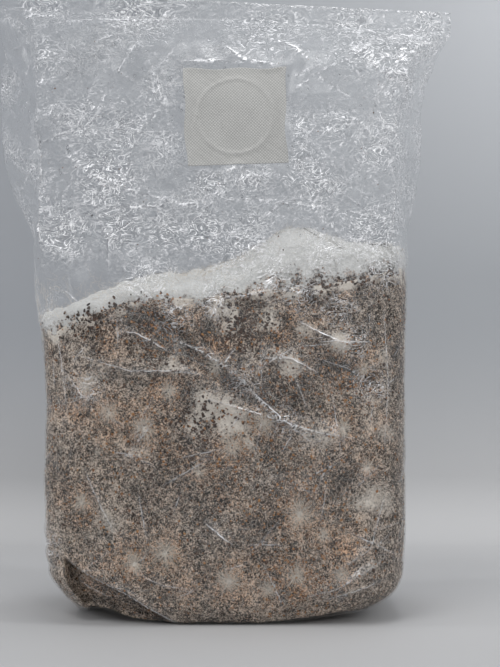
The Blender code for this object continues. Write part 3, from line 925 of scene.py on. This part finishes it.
# Dark lowers the tone and pulls the colour darker: it carries dark sawdust, and on the block also
# painted shade in the grooves.
for level, amount in ((mottle, 2.1), (clods, 0.66), (drift, 0.33), (given["Dark"], -0.17)):
    tone = math_node(grit_group, "MULTIPLY_ADD", level, amount, tone)
brown = add_node(grit_group, "ValToRGB", {"Fac": tone})
BROWNS = (
    (0.38, (0.006, 0.004, 0.002, 1)), (0.45, (0.070, 0.041, 0.025, 1)),
    (0.53, (0.275, 0.190, 0.135, 1)), (0.64, (0.78, 0.65, 0.52, 1)),
)
stops = brown.color_ramp.elements
stops[0].position, stops[0].color = BROWNS[0]
stops[1].position, stops[1].color = BROWNS[3]
for position, colour in BROWNS[1:3]:
    stops.new(position).color = colour
values = {"Vector": given["Vector"], "Scale": 640.0, "Randomness": 1.0}
flecks = add_node(grit_group, "TexVoronoi", values, feature="F1")
pick = add_node(grit_group, "SeparateColor", {0: flecks.outputs["Color"]})
core = math_node(grit_group, "LESS_THAN", flecks.outputs["Distance"], 0.42)
shares = []
for channel, mark, least, strength in ((0, "Warm", 0.02, 0.75), (1, "Dark", 0.07, 0.85)):
    cut = math_node(grit_group, "MULTIPLY_ADD", given[mark], 0.22, least)
    picked = math_node(grit_group, "LESS_THAN", pick.outputs[channel], cut)
    picked = math_node(grit_group, "MULTIPLY", picked, core)
    shares.append(math_node(grit_group, "MULTIPLY", picked, strength))
ruddy = mix_colour(grit_group, given["Warm"], (0.97, 1.0, 1.05, 1), (1.42, 1.0, 0.68, 1))
dark_sawdust_and_shade = math_node(grit_group, "MULTIPLY", given["Dark"], 0.75)
ruddy = mix_colour(grit_group, dark_sawdust_and_shade, ruddy, (0.62, 0.42, 0.30, 1))
toned = mix_colour(grit_group, 1.0, brown.outputs[0], ruddy, blend_type="MULTIPLY")
grit_colour = mix_colour(grit_group, shares[0], toned, (0.30, 0.125, 0.035, 1))
grit_colour = mix_colour(grit_group, shares[1], grit_colour, (0.016, 0.011, 0.010, 1))
grit_group.links.new(grit_colour, result["Color"])

# Mycelium in the block: a fine web of threads, and felt where it is thick.
web_group, given, result = new_group(
    "mycelium web", [("Vector", "Vector", None), ("Amount", "Float", 0.5)], [("Cover", "Float")]
)
web_noise = noise_node(web_group, given["Vector"], 520.0, 2.0, 0.5, 1.5)
middle = math_node(web_group, "SUBTRACT", web_noise, 0.5)
thread = map_node(web_group, math_node(web_group, "ABSOLUTE", middle), 0.004, 0.030, 1.0, 0.0)
thread_share = math_node(web_group, "MULTIPLY", thread, 0.50)
felt_noise = noise_node(web_group, given["Vector"], 900.0, 2.0, 0.7)
felt_level = math_node(web_group, "ADD", felt_noise, given["Amount"])
felt = map_node(web_group, felt_level, 0.72, 1.14)
web_group.links.new(math_node(web_group, "MAXIMUM", thread_share, felt), result["Cover"])

dirt, tree, surface = add_material("colonised substrate")
place = add_node(tree, "TexCoord").outputs["Object"]
dark, warm, white = [read_mark(tree, name) for name in ("dark", "warm", "white")]
grit = use_group(tree, grit_group, Vector=place, Dark=dark, Warm=warm)
web = use_group(tree, web_group, Vector=place, Amount=white)
felt_shade = noise_node(tree, place, 620.0, 3.0, 0.7)
felt_tone = mix_colour(tree, felt_shade, (0.50, 0.44, 0.375, 1), (1.0, 0.93, 0.84, 1))
body = mix_colour(tree, web["Cover"], grit["Color"], felt_tone)
coat = add_node(tree, "BsdfPrincipled", {"Base Color": body, "Roughness": 0.8})
coat.inputs["Specular IOR Level"].default_value = 0.25
tree.links.new(coat.outputs[0], surface)
block.data.materials.append(dirt)
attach(block, "root")
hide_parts("substrate_block")

# ---------------------------------------------------------------------------------------------
# The mat of mycelium. White cottony growth over the top of the block, pressed flat where it
# meets the film, with soft mounds like cloud where it has grown up into the air.
# ---------------------------------------------------------------------------------------------
MAT_COLUMNS = 400
MAT_SIDE_ROWS = 22
MAT_CAP_ROWS = 62
MAT_INSET = 0.0012
# Height of the growth against the film along the front, as x and height above the floor.
MAT_X = (-0.1014, -0.0679, -0.0399, -0.0120, 0.0048, 0.0216, 0.0384, 0.0560, 0.0719, 0.0999)
MAT_TOP = (0.1770, 0.1848, 0.1915, 0.1925, 0.1975, 0.2060, 0.2140, 0.2125, 0.2110, 0.2150)
MOUNDS = (
    (0.045, -0.025, 0.010, 0.024), (0.092, -0.020, 0.006, 0.022), (0.005, 0.005, 0.005, 0.030),
    (-0.055, -0.010, 0.004, 0.026), (0.065, 0.030, 0.008, 0.024), (-0.020, 0.035, 0.006, 0.026),
)

mat_run = np.linspace(bag_run[0], bag_run[0] + AROUND, MAT_COLUMNS, endpoint=False)[None, :]
mat_guess = on_film(mat_run, np.full((1, MAT_COLUMNS), 0.19), 0.0)
mat_low = rim_height_at(mat_guess[..., 0]) - 0.003
mat_high = np.interp(mat_guess[..., 0], MAT_X, MAT_TOP)
mat_high = mat_high + 0.0024 * grid_noise(mat_guess, 0.011, 44)
mat_high = mat_high + 0.0012 * grid_noise(mat_guess, 0.004, 45)
side_share = np.linspace(0.0, 1.0, MAT_SIDE_ROWS)[:, None]
side_height = mat_low + (mat_high - mat_low) * side_share
side_run = np.broadcast_to(mat_run, side_height.shape)
mat_rows, mat_columns = film_place(side_run, side_height)
side_normals = grid_sample(bag_normals, mat_rows, mat_columns)
side_inset = MAT_INSET + 0.0030 * side_share**4
side_points = grid_sample(film_points, mat_rows, mat_columns) - side_normals * side_inset[..., None]
cap_share = np.linspace(1.0, 0.03, MAT_CAP_ROWS)[1:, None, None]
edge_points = side_points[-1][None]
edge_middle = edge_points.mean(axis=1, keepdims=True)
cap_points = edge_middle + (edge_points - edge_middle) * cap_share
cap_rise = 0.0035 * (1 - cap_share[..., 0] ** 3) * np.ones((1, MAT_COLUMNS))
for x, y, rise, radius in MOUNDS:
    away = ((cap_points[..., 0] - x) ** 2 + (cap_points[..., 1] - y) ** 2) / radius**2
    cap_rise = cap_rise + rise * np.exp(-away)
cap_rise *= 1 - cap_share[..., 0] ** 4
cap_points[..., 2] = np.interp(cap_points[..., 0], MAT_X, MAT_TOP) + 0.001 + cap_rise
join = cap_share[..., 0] ** 12
cap_points[..., 2] = cap_points[..., 2] * (1 - join) + edge_points[..., 2] * join
mat_points = np.concatenate([side_points, cap_points])
puffs = 0.0026 * grid_noise(mat_points, 0.0085, 51) + 0.0011 * grid_noise(mat_points, 0.0034, 52)
puffs += 0.0005 * grid_noise(mat_points, 0.0014, 53)
# The growth is held flat at the film's foot, and its puffs are full a few rows into the cap.
cap_growth = np.clip(np.arange(1.0, MAT_CAP_ROWS) / 7, 0, 1)
mat_share = np.concatenate([side_share[:, 0] ** 2, cap_growth])[:, None]
mat_outward = np.concatenate([side_normals, np.zeros_like(cap_points)])
mat_outward[MAT_SIDE_ROWS:, :, 2] = 1.0
on_side = np.arange(len(mat_points))[:, None] < MAT_SIDE_ROWS
settled = np.where(on_side, np.clip(puffs, -0.0005, 0.0004), puffs)
mat_points = mat_points + mat_outward * (settled * mat_share)[..., None]
mat = add_mesh("mycelium", mat_points, tube_faces(mat_points.shape[0], MAT_COLUMNS))
side_depth = np.broadcast_to(side_share, side_height.shape)
mat_depth = np.concatenate([side_depth, np.ones(cap_points.shape[:2])])
set_mark(mat, "depth", mat_depth)
close_ends(mat)
felt_skin, tree, surface = add_material("mycelium felt")
place = add_node(tree, "TexCoord").outputs["Object"]
tuft = noise_node(tree, place, 500.0, 3.0, 0.7)
low_share = map_node(tree, read_mark(tree, "depth"), 0.0, 0.9, 0.55, 0.0)
islands = noise_node(tree, place, 140.0, 3.0, 0.65)
blend_level = math_node(tree, "ADD", tuft, low_share)
blend_level = math_node(tree, "ADD", blend_level, islands)
blend_share = map_node(tree, blend_level, 1.28, 1.55)
grit = use_group(tree, grit_group, Vector=place, Dark=0.3, Warm=0.4)
white = mix_colour(tree, tuft, (0.58, 0.58, 0.565, 1), (0.86, 0.86, 0.84, 1))
body = mix_colour(tree, blend_share, white, grit["Color"])
coat = add_node(tree, "BsdfPrincipled", {"Base Color": body, "Roughness": 0.95})
tree.links.new(bump_node(tree, tuft, 0.7, 0.0010), coat.inputs["Normal"])
coat.inputs["Specular IOR Level"].default_value = 0.1
coat.inputs["Sheen Weight"].default_value = 0.3
tree.links.new(coat.outputs[0], surface)
mat.data.materials.append(felt_skin)
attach(mat, "root")
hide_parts("mycelium_mat")

# ---------------------------------------------------------------------------------------------
# Loose chips. Flakes of bark and hulls of bran lie against the film on the block's face, and a
# few crumbs have stuck to the film above it.
# ---------------------------------------------------------------------------------------------
CHIP_CORNERS = 6


def chip_mesh(name, centres, normals, sizes, rng):
    """Many flat crumbs in one mesh. Each is a ring of six corners at uneven distances, with a
    point above and a point below, laid flat against the surface whose normal is given."""
    count = len(centres)
    up = np.array([0.0, 0.0, 1.0])
    side = np.cross(up, normals)
    side /= np.maximum(np.linalg.norm(side, axis=-1, keepdims=True), 1e-9)
    rise = np.cross(normals, side)
    spin = rng.uniform(0, 2 * np.pi, (count, 1))
    angle = spin + np.arange(CHIP_CORNERS) * 2 * np.pi / CHIP_CORNERS
    reach = sizes[:, None] * rng.uniform(0.55, 1.1, (count, CHIP_CORNERS))
    long = rng.uniform(0.45, 1.0, (count, 1))
    a = np.cos(angle - spin) * reach
    b = np.sin(angle - spin) * reach * long
    turn_x = a * np.cos(spin) - b * np.sin(spin)
    turn_y = a * np.sin(spin) + b * np.cos(spin)
    ring = centres[:, None] + side[:, None] * turn_x[..., None] + rise[:, None] * turn_y[..., None]
    thick = sizes * rng.uniform(0.25, 0.5, count)
    top = centres + normals * thick[:, None]
    bottom = centres - normals * thick[:, None]
    points = np.concatenate([ring, top[:, None], bottom[:, None]], axis=1)
    first = np.arange(CHIP_CORNERS)
    after = (first + 1) % CHIP_CORNERS
    upper = np.stack([first, after, np.full(CHIP_CORNERS, CHIP_CORNERS)], axis=-1)
    lower = np.stack([after, first, np.full(CHIP_CORNERS, CHIP_CORNERS + 1)], axis=-1)
    pattern = np.concatenate([upper, lower])
    faces = (np.arange(count)[:, None, None] * (CHIP_CORNERS + 2) + pattern[None]).reshape(-1, 3)
    return add_mesh(name, points, faces, smooth=False)


def scatter(rng, count, zones, share_anywhere):
    """Places on the film as run and height: most in the zones, given as (x, height, radius,
    share), and the rest anywhere round the block."""
    weights = np.array([zone[3] for zone in zones])
    chosen = rng.choice(len(zones), count, p=weights / weights.sum())
    table = np.array(zones)[chosen]
    run = table[:, 0] + rng.normal(0, 0.6, count) * table[:, 2]
    height = table[:, 1] + rng.normal(0, 0.6, count) * table[:, 2]
    anywhere = rng.random(count) < share_anywhere
    run = np.where(anywhere, rng.uniform(-AROUND / 2, AROUND / 2, count), run)
    height = np.where(anywhere, rng.uniform(0.006, 0.2, count), height)
    top = rim_height_at(on_film(run, np.clip(height, 0.004, 0.2), 0.0)[..., 0])
    top = top + 0.007 * rng.random(count) ** 2
    height = np.where(height > top, top - 0.8 * (height - top), height)
    return run, np.clip(height, 0.004, top)


def dress(made, colours, roughness):
    """A crumb material: one of two colours for each crumb, by a mark on its corners."""
    skin, tree, surface = add_material(made.name + " colour")
    body = mix_colour(tree, read_mark(tree, "shade"), colours[0], colours[1])
    coat = add_node(tree, "BsdfPrincipled", {"Base Color": body, "Roughness": roughness})
    tree.links.new(coat.outputs[0], surface)
    made.data.materials.append(skin)
    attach(made, "root")


BARK_ZONES = zone_table(
    (-50, 170, 20, 2.6), (8, 163, 13, 2.2), (-14, 122, 17, 1.8), (16, 176, 14, 1.5),
    (68, 188, 18, 1.2), (-80, 170, 16, 0.8), (22, 172, 14, 1), (35, 128, 16, 1),
    (-30, 145, 15, 1), (60, 187, 12, 1), (-15, 105, 12, 1), (-80, 172, 10, 0.8), (-30, 80, 30, 1),
)
BRAN_ZONES = zone_table(
    (-40, 168, 20, 1), (30, 150, 30, 1), (50, 70, 30, 1.5), (50, 28, 26, 1.5), (-50, 110, 26, 1),
    (75, 140, 20, 1), (5, 100, 20, 1), (-60, 40, 24, 0.6),
)
BARK_COLOURS = ((0.009, 0.006, 0.004, 1), (0.090, 0.036, 0.012, 1))
BRAN_COLOURS = ((0.20, 0.070, 0.014, 1), (0.46, 0.22, 0.070, 1))
CRUMB_COLOURS = ((0.02, 0.014, 0.010, 1), (0.26, 0.12, 0.04, 1))
chip_rng = np.random.default_rng(77)
chip_kinds = (
    ("bark_flakes", 4000, BARK_ZONES, 0.5, (0.0003, 0.0016), BARK_COLOURS),
    ("bran_hulls", 3200, BRAN_ZONES, 0.5, (0.0003, 0.0012), BRAN_COLOURS),
)
for name, count, zones, anywhere, least_most, colours in chip_kinds:
    run, height = scatter(chip_rng, count, zones, anywhere)
    rows, columns = film_place(run, height)
    sizes = least_most[0] + (least_most[1] - least_most[0]) * chip_rng.random(count) ** 1.7
    centres = on_film(run, height, 0.0004 + sizes * 0.45)
    chips = chip_mesh(name, centres, grid_sample(bag_normals, rows, columns), sizes, chip_rng)
    set_mark(chips, "shade", np.repeat(chip_rng.random(count), CHIP_CORNERS + 2))
    dress(chips, colours, 0.7)

count = 170
run = np.concatenate([chip_rng.uniform(-0.1, 0.1, 110), chip_rng.uniform(-AROUND / 2, AROUND / 2, 60)])
height = 0.20 + 0.14 * chip_rng.random(count) ** 1.4
rows, columns = film_place(run, height)
sizes = 0.00022 + 0.0005 * chip_rng.random(count) ** 2
centres = on_film(run, height, 0.0003 + sizes * 0.4)
crumbs = chip_mesh("stuck_crumbs", centres, grid_sample(bag_normals, rows, columns), sizes, chip_rng)
set_mark(crumbs, "shade", np.repeat(chip_rng.random(count), CHIP_CORNERS + 2))
dress(crumbs, CRUMB_COLOURS, 0.7)

# ---------------------------------------------------------------------------------------------
# The threads of the mycelium. White hyphae finer than hair: stars round each crumb of spawn, a
# loose web over the block's face, and a soft nap on the mat.
# ---------------------------------------------------------------------------------------------
THREAD_SIDES = 3


def thread_mesh(name, paths, outward, radius):
    """Many fine closed tubes in one mesh, each along its own path of points. outward points away
    from the surface at every point, and the tubes taper to their far ends."""
    count, length = paths.shape[:2]
    ahead = np.gradient(paths, axis=1)
    side = np.cross(ahead, outward)
    side /= np.maximum(np.linalg.norm(side, axis=-1, keepdims=True), 1e-12)
    taper = np.linspace(1.0, 0.35, length)[None, :, None] * radius
    rings = []
    for corner in range(THREAD_SIDES):
        angle = 2 * math.pi * corner / THREAD_SIDES
        rings.append(paths + (side * math.cos(angle) + outward * math.sin(angle)) * taper)
    points = np.stack(rings, axis=2).reshape(-1, 3)
    step = np.arange(length - 1)[:, None] * THREAD_SIDES
    corner = np.arange(THREAD_SIDES)[None, :]
    after = (corner + 1) % THREAD_SIDES
    beyond = step + THREAD_SIDES
    quad = np.stack([step + corner, step + after, beyond + after, beyond + corner], -1)
    quad = quad.reshape(-1, 4)
    size = length * THREAD_SIDES
    faces = (np.arange(count)[:, None, None] * size + quad[None]).reshape(-1, 4)
    ends = np.array([[2, 1, 0], [size - 3, size - 2, size - 1]])
    caps = (np.arange(count)[:, None, None] * size + ends[None]).reshape(-1, 3)
    return add_mesh(name, points, faces, caps)


def wander(rng, start_run, start_height, heading, length, steps, curl):
    """Paths over the film: each starts at a place with a heading and turns at random."""
    turns = np.cumsum(rng.normal(0, curl, (len(start_run), steps)), axis=1)
    angle = heading[:, None] + turns
    pace = (length / steps)[:, None]
    run = start_run[:, None] + np.cumsum(np.cos(angle) * pace, axis=1)
    height = start_height[:, None] + np.cumsum(np.sin(angle) * pace, axis=1)
    return run, np.clip(height, 0.003, 0.212)


def lay_threads(name, run, height, inset, radius):
    """Threads along paths over the film, at a depth behind it."""
    rows, columns = film_place(run, height)
    normals = grid_sample(bag_normals, rows, columns)
    paths = grid_sample(film_points, rows, columns) - normals * inset
    made = thread_mesh(name, paths, normals, radius)
    made.data.materials.append(hypha)
    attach(made, "root")
    return made


hypha, tree, surface = add_material("hyphae")
coat = add_node(tree, "BsdfPrincipled", {"Base Color": (0.88, 0.79, 0.685, 1), "Roughness": 0.9})
coat.inputs["Specular IOR Level"].default_value = 0.1
tree.links.new(coat.outputs[0], surface)

thread_rng = np.random.default_rng(303)
star_runs, star_heights = [], []
for x, up, size in STARS:
    rays = int(150 * size / 0.010)
    heading = thread_rng.uniform(0, 2 * np.pi, rays)
    start = thread_rng.uniform(0.0, 0.25, rays) * size
    reach = size * thread_rng.uniform(0.45, 1.1, rays)
    ray_run, ray_height = wander(
        thread_rng, x + np.cos(heading) * start, up + np.sin(heading) * start, heading, reach, 6, 0.16
    )
    star_runs.append(ray_run)
    star_heights.append(ray_height)
lay_threads("star_threads", np.concatenate(star_runs), np.concatenate(star_heights), 0.00055, 0.00007)

WEB_THREADS = 6000
WEB_IN_FRONT = 4200
in_front = thread_rng.uniform(-0.105, 0.105, WEB_IN_FRONT)
elsewhere = thread_rng.uniform(0.105, AROUND - 0.105, WEB_THREADS - WEB_IN_FRONT)
web_run = np.concatenate([in_front, elsewhere])
web_height = thread_rng.uniform(0.004, 0.196, WEB_THREADS)
web_reach = thread_rng.uniform(0.004, 0.013, WEB_THREADS)
heading = thread_rng.uniform(0, 2 * np.pi, WEB_THREADS)
run, height = wander(thread_rng, web_run, web_height, heading, web_reach, 6, 0.42)
lay_threads("web_threads", run, height, 0.00060, 0.00006)

NAP_THREADS = 7000
NAP_STEPS = 4
flat_points = mat_points[MAT_SIDE_ROWS - 8 :].reshape(-1, 3)
mat_normals = grid_normals(mat_points)[MAT_SIDE_ROWS - 8 :].reshape(-1, 3)
chosen = thread_rng.integers(0, len(flat_points) - MAT_COLUMNS * 4, NAP_THREADS)
roots = flat_points[chosen] + thread_rng.normal(0, 0.0004, (NAP_THREADS, 3))
outward = mat_normals[chosen] + thread_rng.normal(0, 0.55, (NAP_THREADS, 3))
outward /= np.linalg.norm(outward, axis=-1, keepdims=True)
bends = np.cumsum(thread_rng.normal(0, 0.35, (NAP_THREADS, NAP_STEPS, 3)), axis=1)
steps = outward[:, None] + bends
steps *= (thread_rng.uniform(0.0005, 0.0022, NAP_THREADS) / NAP_STEPS)[:, None, None]
nap_paths = np.concatenate([roots[:, None], roots[:, None] + np.cumsum(steps, axis=1)], axis=1)
nap_outward = np.broadcast_to(np.roll(outward, 1, axis=-1)[:, None], nap_paths.shape)
nap = thread_mesh("mat_nap", nap_paths, nap_outward, 0.00006)
nap.data.materials.append(hypha)
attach(nap, "root")

# ---------------------------------------------------------------------------------------------
# Dew. Moisture from the block has condensed on the inside of the film as small flat drops.
# ---------------------------------------------------------------------------------------------
DROPS = 900
DROP_SIDES = 8
drop_rng = np.random.default_rng(9)
run = np.concatenate([drop_rng.normal(-0.03, 0.05, 600), drop_rng.uniform(-AROUND / 2, AROUND / 2, 300)])
height = drop_rng.uniform(0.215, 0.335, DROPS)
rows, columns = film_place(run, height)
normals = grid_sample(bag_normals, rows, columns)
side = np.cross(np.array([0.0, 0.0, 1.0]), normals)
side /= np.linalg.norm(side, axis=-1, keepdims=True)
rise = np.cross(normals, side)
radius = 0.00022 + 0.00055 * drop_rng.random(DROPS) ** 3
tall = 1.0 + 0.9 * drop_rng.random(DROPS)
angle = np.arange(DROP_SIDES) * 2 * np.pi / DROP_SIDES
rims = []
for share, depth in ((0.85, 0.02), (1.0, 0.12), (0.65, 0.38)):
    a = np.cos(angle)[None, :, None] * side[:, None] * (radius * share)[:, None, None]
    b = np.sin(angle)[None, :, None] * rise[:, None] * (radius * share * tall)[:, None, None]
    centre = on_film(run, height, 0.00012 + radius * depth)
    rims.append(centre[:, None] + a + b)
outer = on_film(run, height, 0.00010)
inner = on_film(run, height, 0.00012 + radius * 0.45)
drop_points = np.concatenate([*rims, outer[:, None], inner[:, None]], axis=1)
first = np.arange(DROP_SIDES)
after = (first + 1) % DROP_SIDES
band = np.stack([first, first + DROP_SIDES, after + DROP_SIDES, after], axis=-1)
belt = band + DROP_SIDES
lid = np.stack([after, np.full(DROP_SIDES, 3 * DROP_SIDES), first], axis=-1)
tip = np.full(DROP_SIDES, 3 * DROP_SIDES + 1)
end = np.stack([first + 2 * DROP_SIDES, tip, after + 2 * DROP_SIDES], axis=-1)
stride = np.arange(DROPS)[:, None, None] * (3 * DROP_SIDES + 2)
quads = (stride + np.concatenate([band, belt])[None]).reshape(-1, 4)
corners = (stride + np.concatenate([lid, end])[None]).reshape(-1, 3)
dew = add_mesh("dew", drop_points, quads, corners)
water, tree, surface = add_material("dew water")
coat = add_node(tree, "BsdfPrincipled", {"Base Color": (0.96, 0.97, 0.98, 1), "Roughness": 0.03})
coat.inputs["Transmission Weight"].default_value = 1.0
coat.inputs["IOR"].default_value = 1.33
tree.links.new(coat.outputs[0], surface)
dew.data.materials.append(water)
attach(dew, "root")

# ---------------------------------------------------------------------------------------------
# The stage: a pale floor that curves up into a grey wall, soft light from large panels, and
# the camera level with the lower part of the bag. The wall is painted lighter towards the right
# and its top right, and the floor lighter far back on the right: painted light.
# ---------------------------------------------------------------------------------------------
WALL_Y = 0.33
SWEEP_RADIUS = 0.05
UNDER_FLOOR = -0.0004
across = np.array([-3.0, 3.0])
turn = np.linspace(0, np.pi / 2, 12)
sweep_y = np.concatenate([[-3.0], WALL_Y - SWEEP_RADIUS + SWEEP_RADIUS * np.sin(turn), [WALL_Y]])
sweep_z = np.concatenate([[0.0], SWEEP_RADIUS * (1 - np.cos(turn)), [2.5]])
stage_points = np.stack(
    [np.repeat(across, len(sweep_y)), np.tile(sweep_y, 2), np.tile(sweep_z, 2)], axis=-1
)
steps = np.arange(len(sweep_y) - 1)
stage_faces = np.stack([steps, steps + len(sweep_y), steps + len(sweep_y) + 1, steps + 1], axis=-1)
behind_floor = [(x, y, UNDER_FLOOR) for x, y in ((-3.0, 0.26), (3.0, 0.26), (3.0, 3.0), (-3.0, 3.0))]
stage_points = np.concatenate([stage_points.reshape(-1, 3), behind_floor])
stage_faces = np.concatenate([stage_faces, [np.arange(len(stage_points) - 4, len(stage_points))]])
stage = add_mesh("stage", stage_points, stage_faces)
stage_paint, tree, surface = add_material("stage paint")
place = add_node(tree, "SeparateXYZ", {0: add_node(tree, "TexCoord").outputs["Object"]})
rise = map_node(tree, place.outputs["Z"], 0.0, 0.19, interpolation_type="SMOOTHSTEP")
high = map_node(tree, place.outputs["Z"], 0.21, 0.42)
# Painted light: the wall is lighter towards the right and lightest high on the right, and the floor is
# lighter far back on the right.
aside = map_node(tree, place.outputs["X"], -0.15, 0.24)
far = map_node(tree, place.outputs["Y"], -0.25, 0.0)
corner = math_node(tree, "MULTIPLY", high, math_node(tree, "POWER", aside, 2.0))
wall = mix_colour(tree, aside, (0.425, 0.443, 0.472, 1), (0.50, 0.52, 0.545, 1))
wall = mix_colour(tree, corner, wall, (0.78, 0.80, 0.83, 1))
far_right_painted_light = math_node(tree, "MULTIPLY", far, aside)
ground = mix_colour(tree, far_right_painted_light, (0.60, 0.60, 0.605, 1), (0.69, 0.69, 0.695, 1))
paint = mix_colour(tree, rise, ground, wall)
coat = add_node(tree, "BsdfPrincipled", {"Roughness": 0.6, "Specular IOR Level": 0.2})
tree.links.new(paint, coat.inputs["Base Color"])
see_through = add_node(tree, "BsdfTransparent").outputs[0]
facing_away = add_node(tree, "NewGeometry").outputs["Backfacing"]
tree.links.new(mix_shader(tree, facing_away, coat.outputs[0], see_through), surface)
stage.data.materials.append(stage_paint)


def panel_light(name, place, aim, size, power):
    """A rectangular lamp of the given size at a place, facing a point."""
    lamp = bpy.data.lights.new(name, "AREA")
    lamp.shape = "RECTANGLE"
    lamp.size, lamp.size_y = size
    lamp.energy = power
    made = bpy.data.objects.new(name, lamp)
    made.location = place
    made.rotation_euler = Vector(np.subtract(aim, place)).to_track_quat("-Z", "Y").to_euler()
    bpy.context.scene.collection.objects.link(made)


panel_light("key light", (-0.7, -1.0, 1.5), (0, 0, 0.2), (0.9, 0.5), 6.5)
panel_light("right strip", (1.3, -0.5, 0.9), (0, 0, 0.2), (0.12, 0.9), 4)
panel_light("left strip", (-1.3, -0.2, 0.6), (0, 0, 0.2), (0.10, 0.8), 3)
panel_light("top light", (0.1, 0.0, 1.7), (0, 0, 0.2), (1.1, 0.4), 6)
panel_light("front light", (0.35, -1.7, 0.75), (0, 0, 0.2), (0.5, 0.35), 3)

world = bpy.data.worlds.new("soft room")
world.use_nodes = True
world.node_tree.nodes["Background"].inputs["Color"].default_value = (0.78, 0.80, 0.83, 1)
world.node_tree.nodes["Background"].inputs["Strength"].default_value = 0.37
bpy.context.scene.world = world
bpy.context.scene.view_settings.view_transform = "Standard"
bpy.context.scene.cycles.max_bounces = 6
bpy.context.scene.cycles.diffuse_bounces = 2
bpy.context.scene.cycles.glossy_bounces = 3
bpy.context.scene.cycles.transparent_max_bounces = 16

camera_data = bpy.data.cameras.new("camera")
camera_data.lens = 86.95
camera = bpy.data.objects.new("camera", camera_data)
camera.location = (0.016, -0.968, 0.165)
camera.rotation_euler = (math.pi / 2, 0, 0)
bpy.context.scene.collection.objects.link(camera)
bpy.context.scene.camera = camera
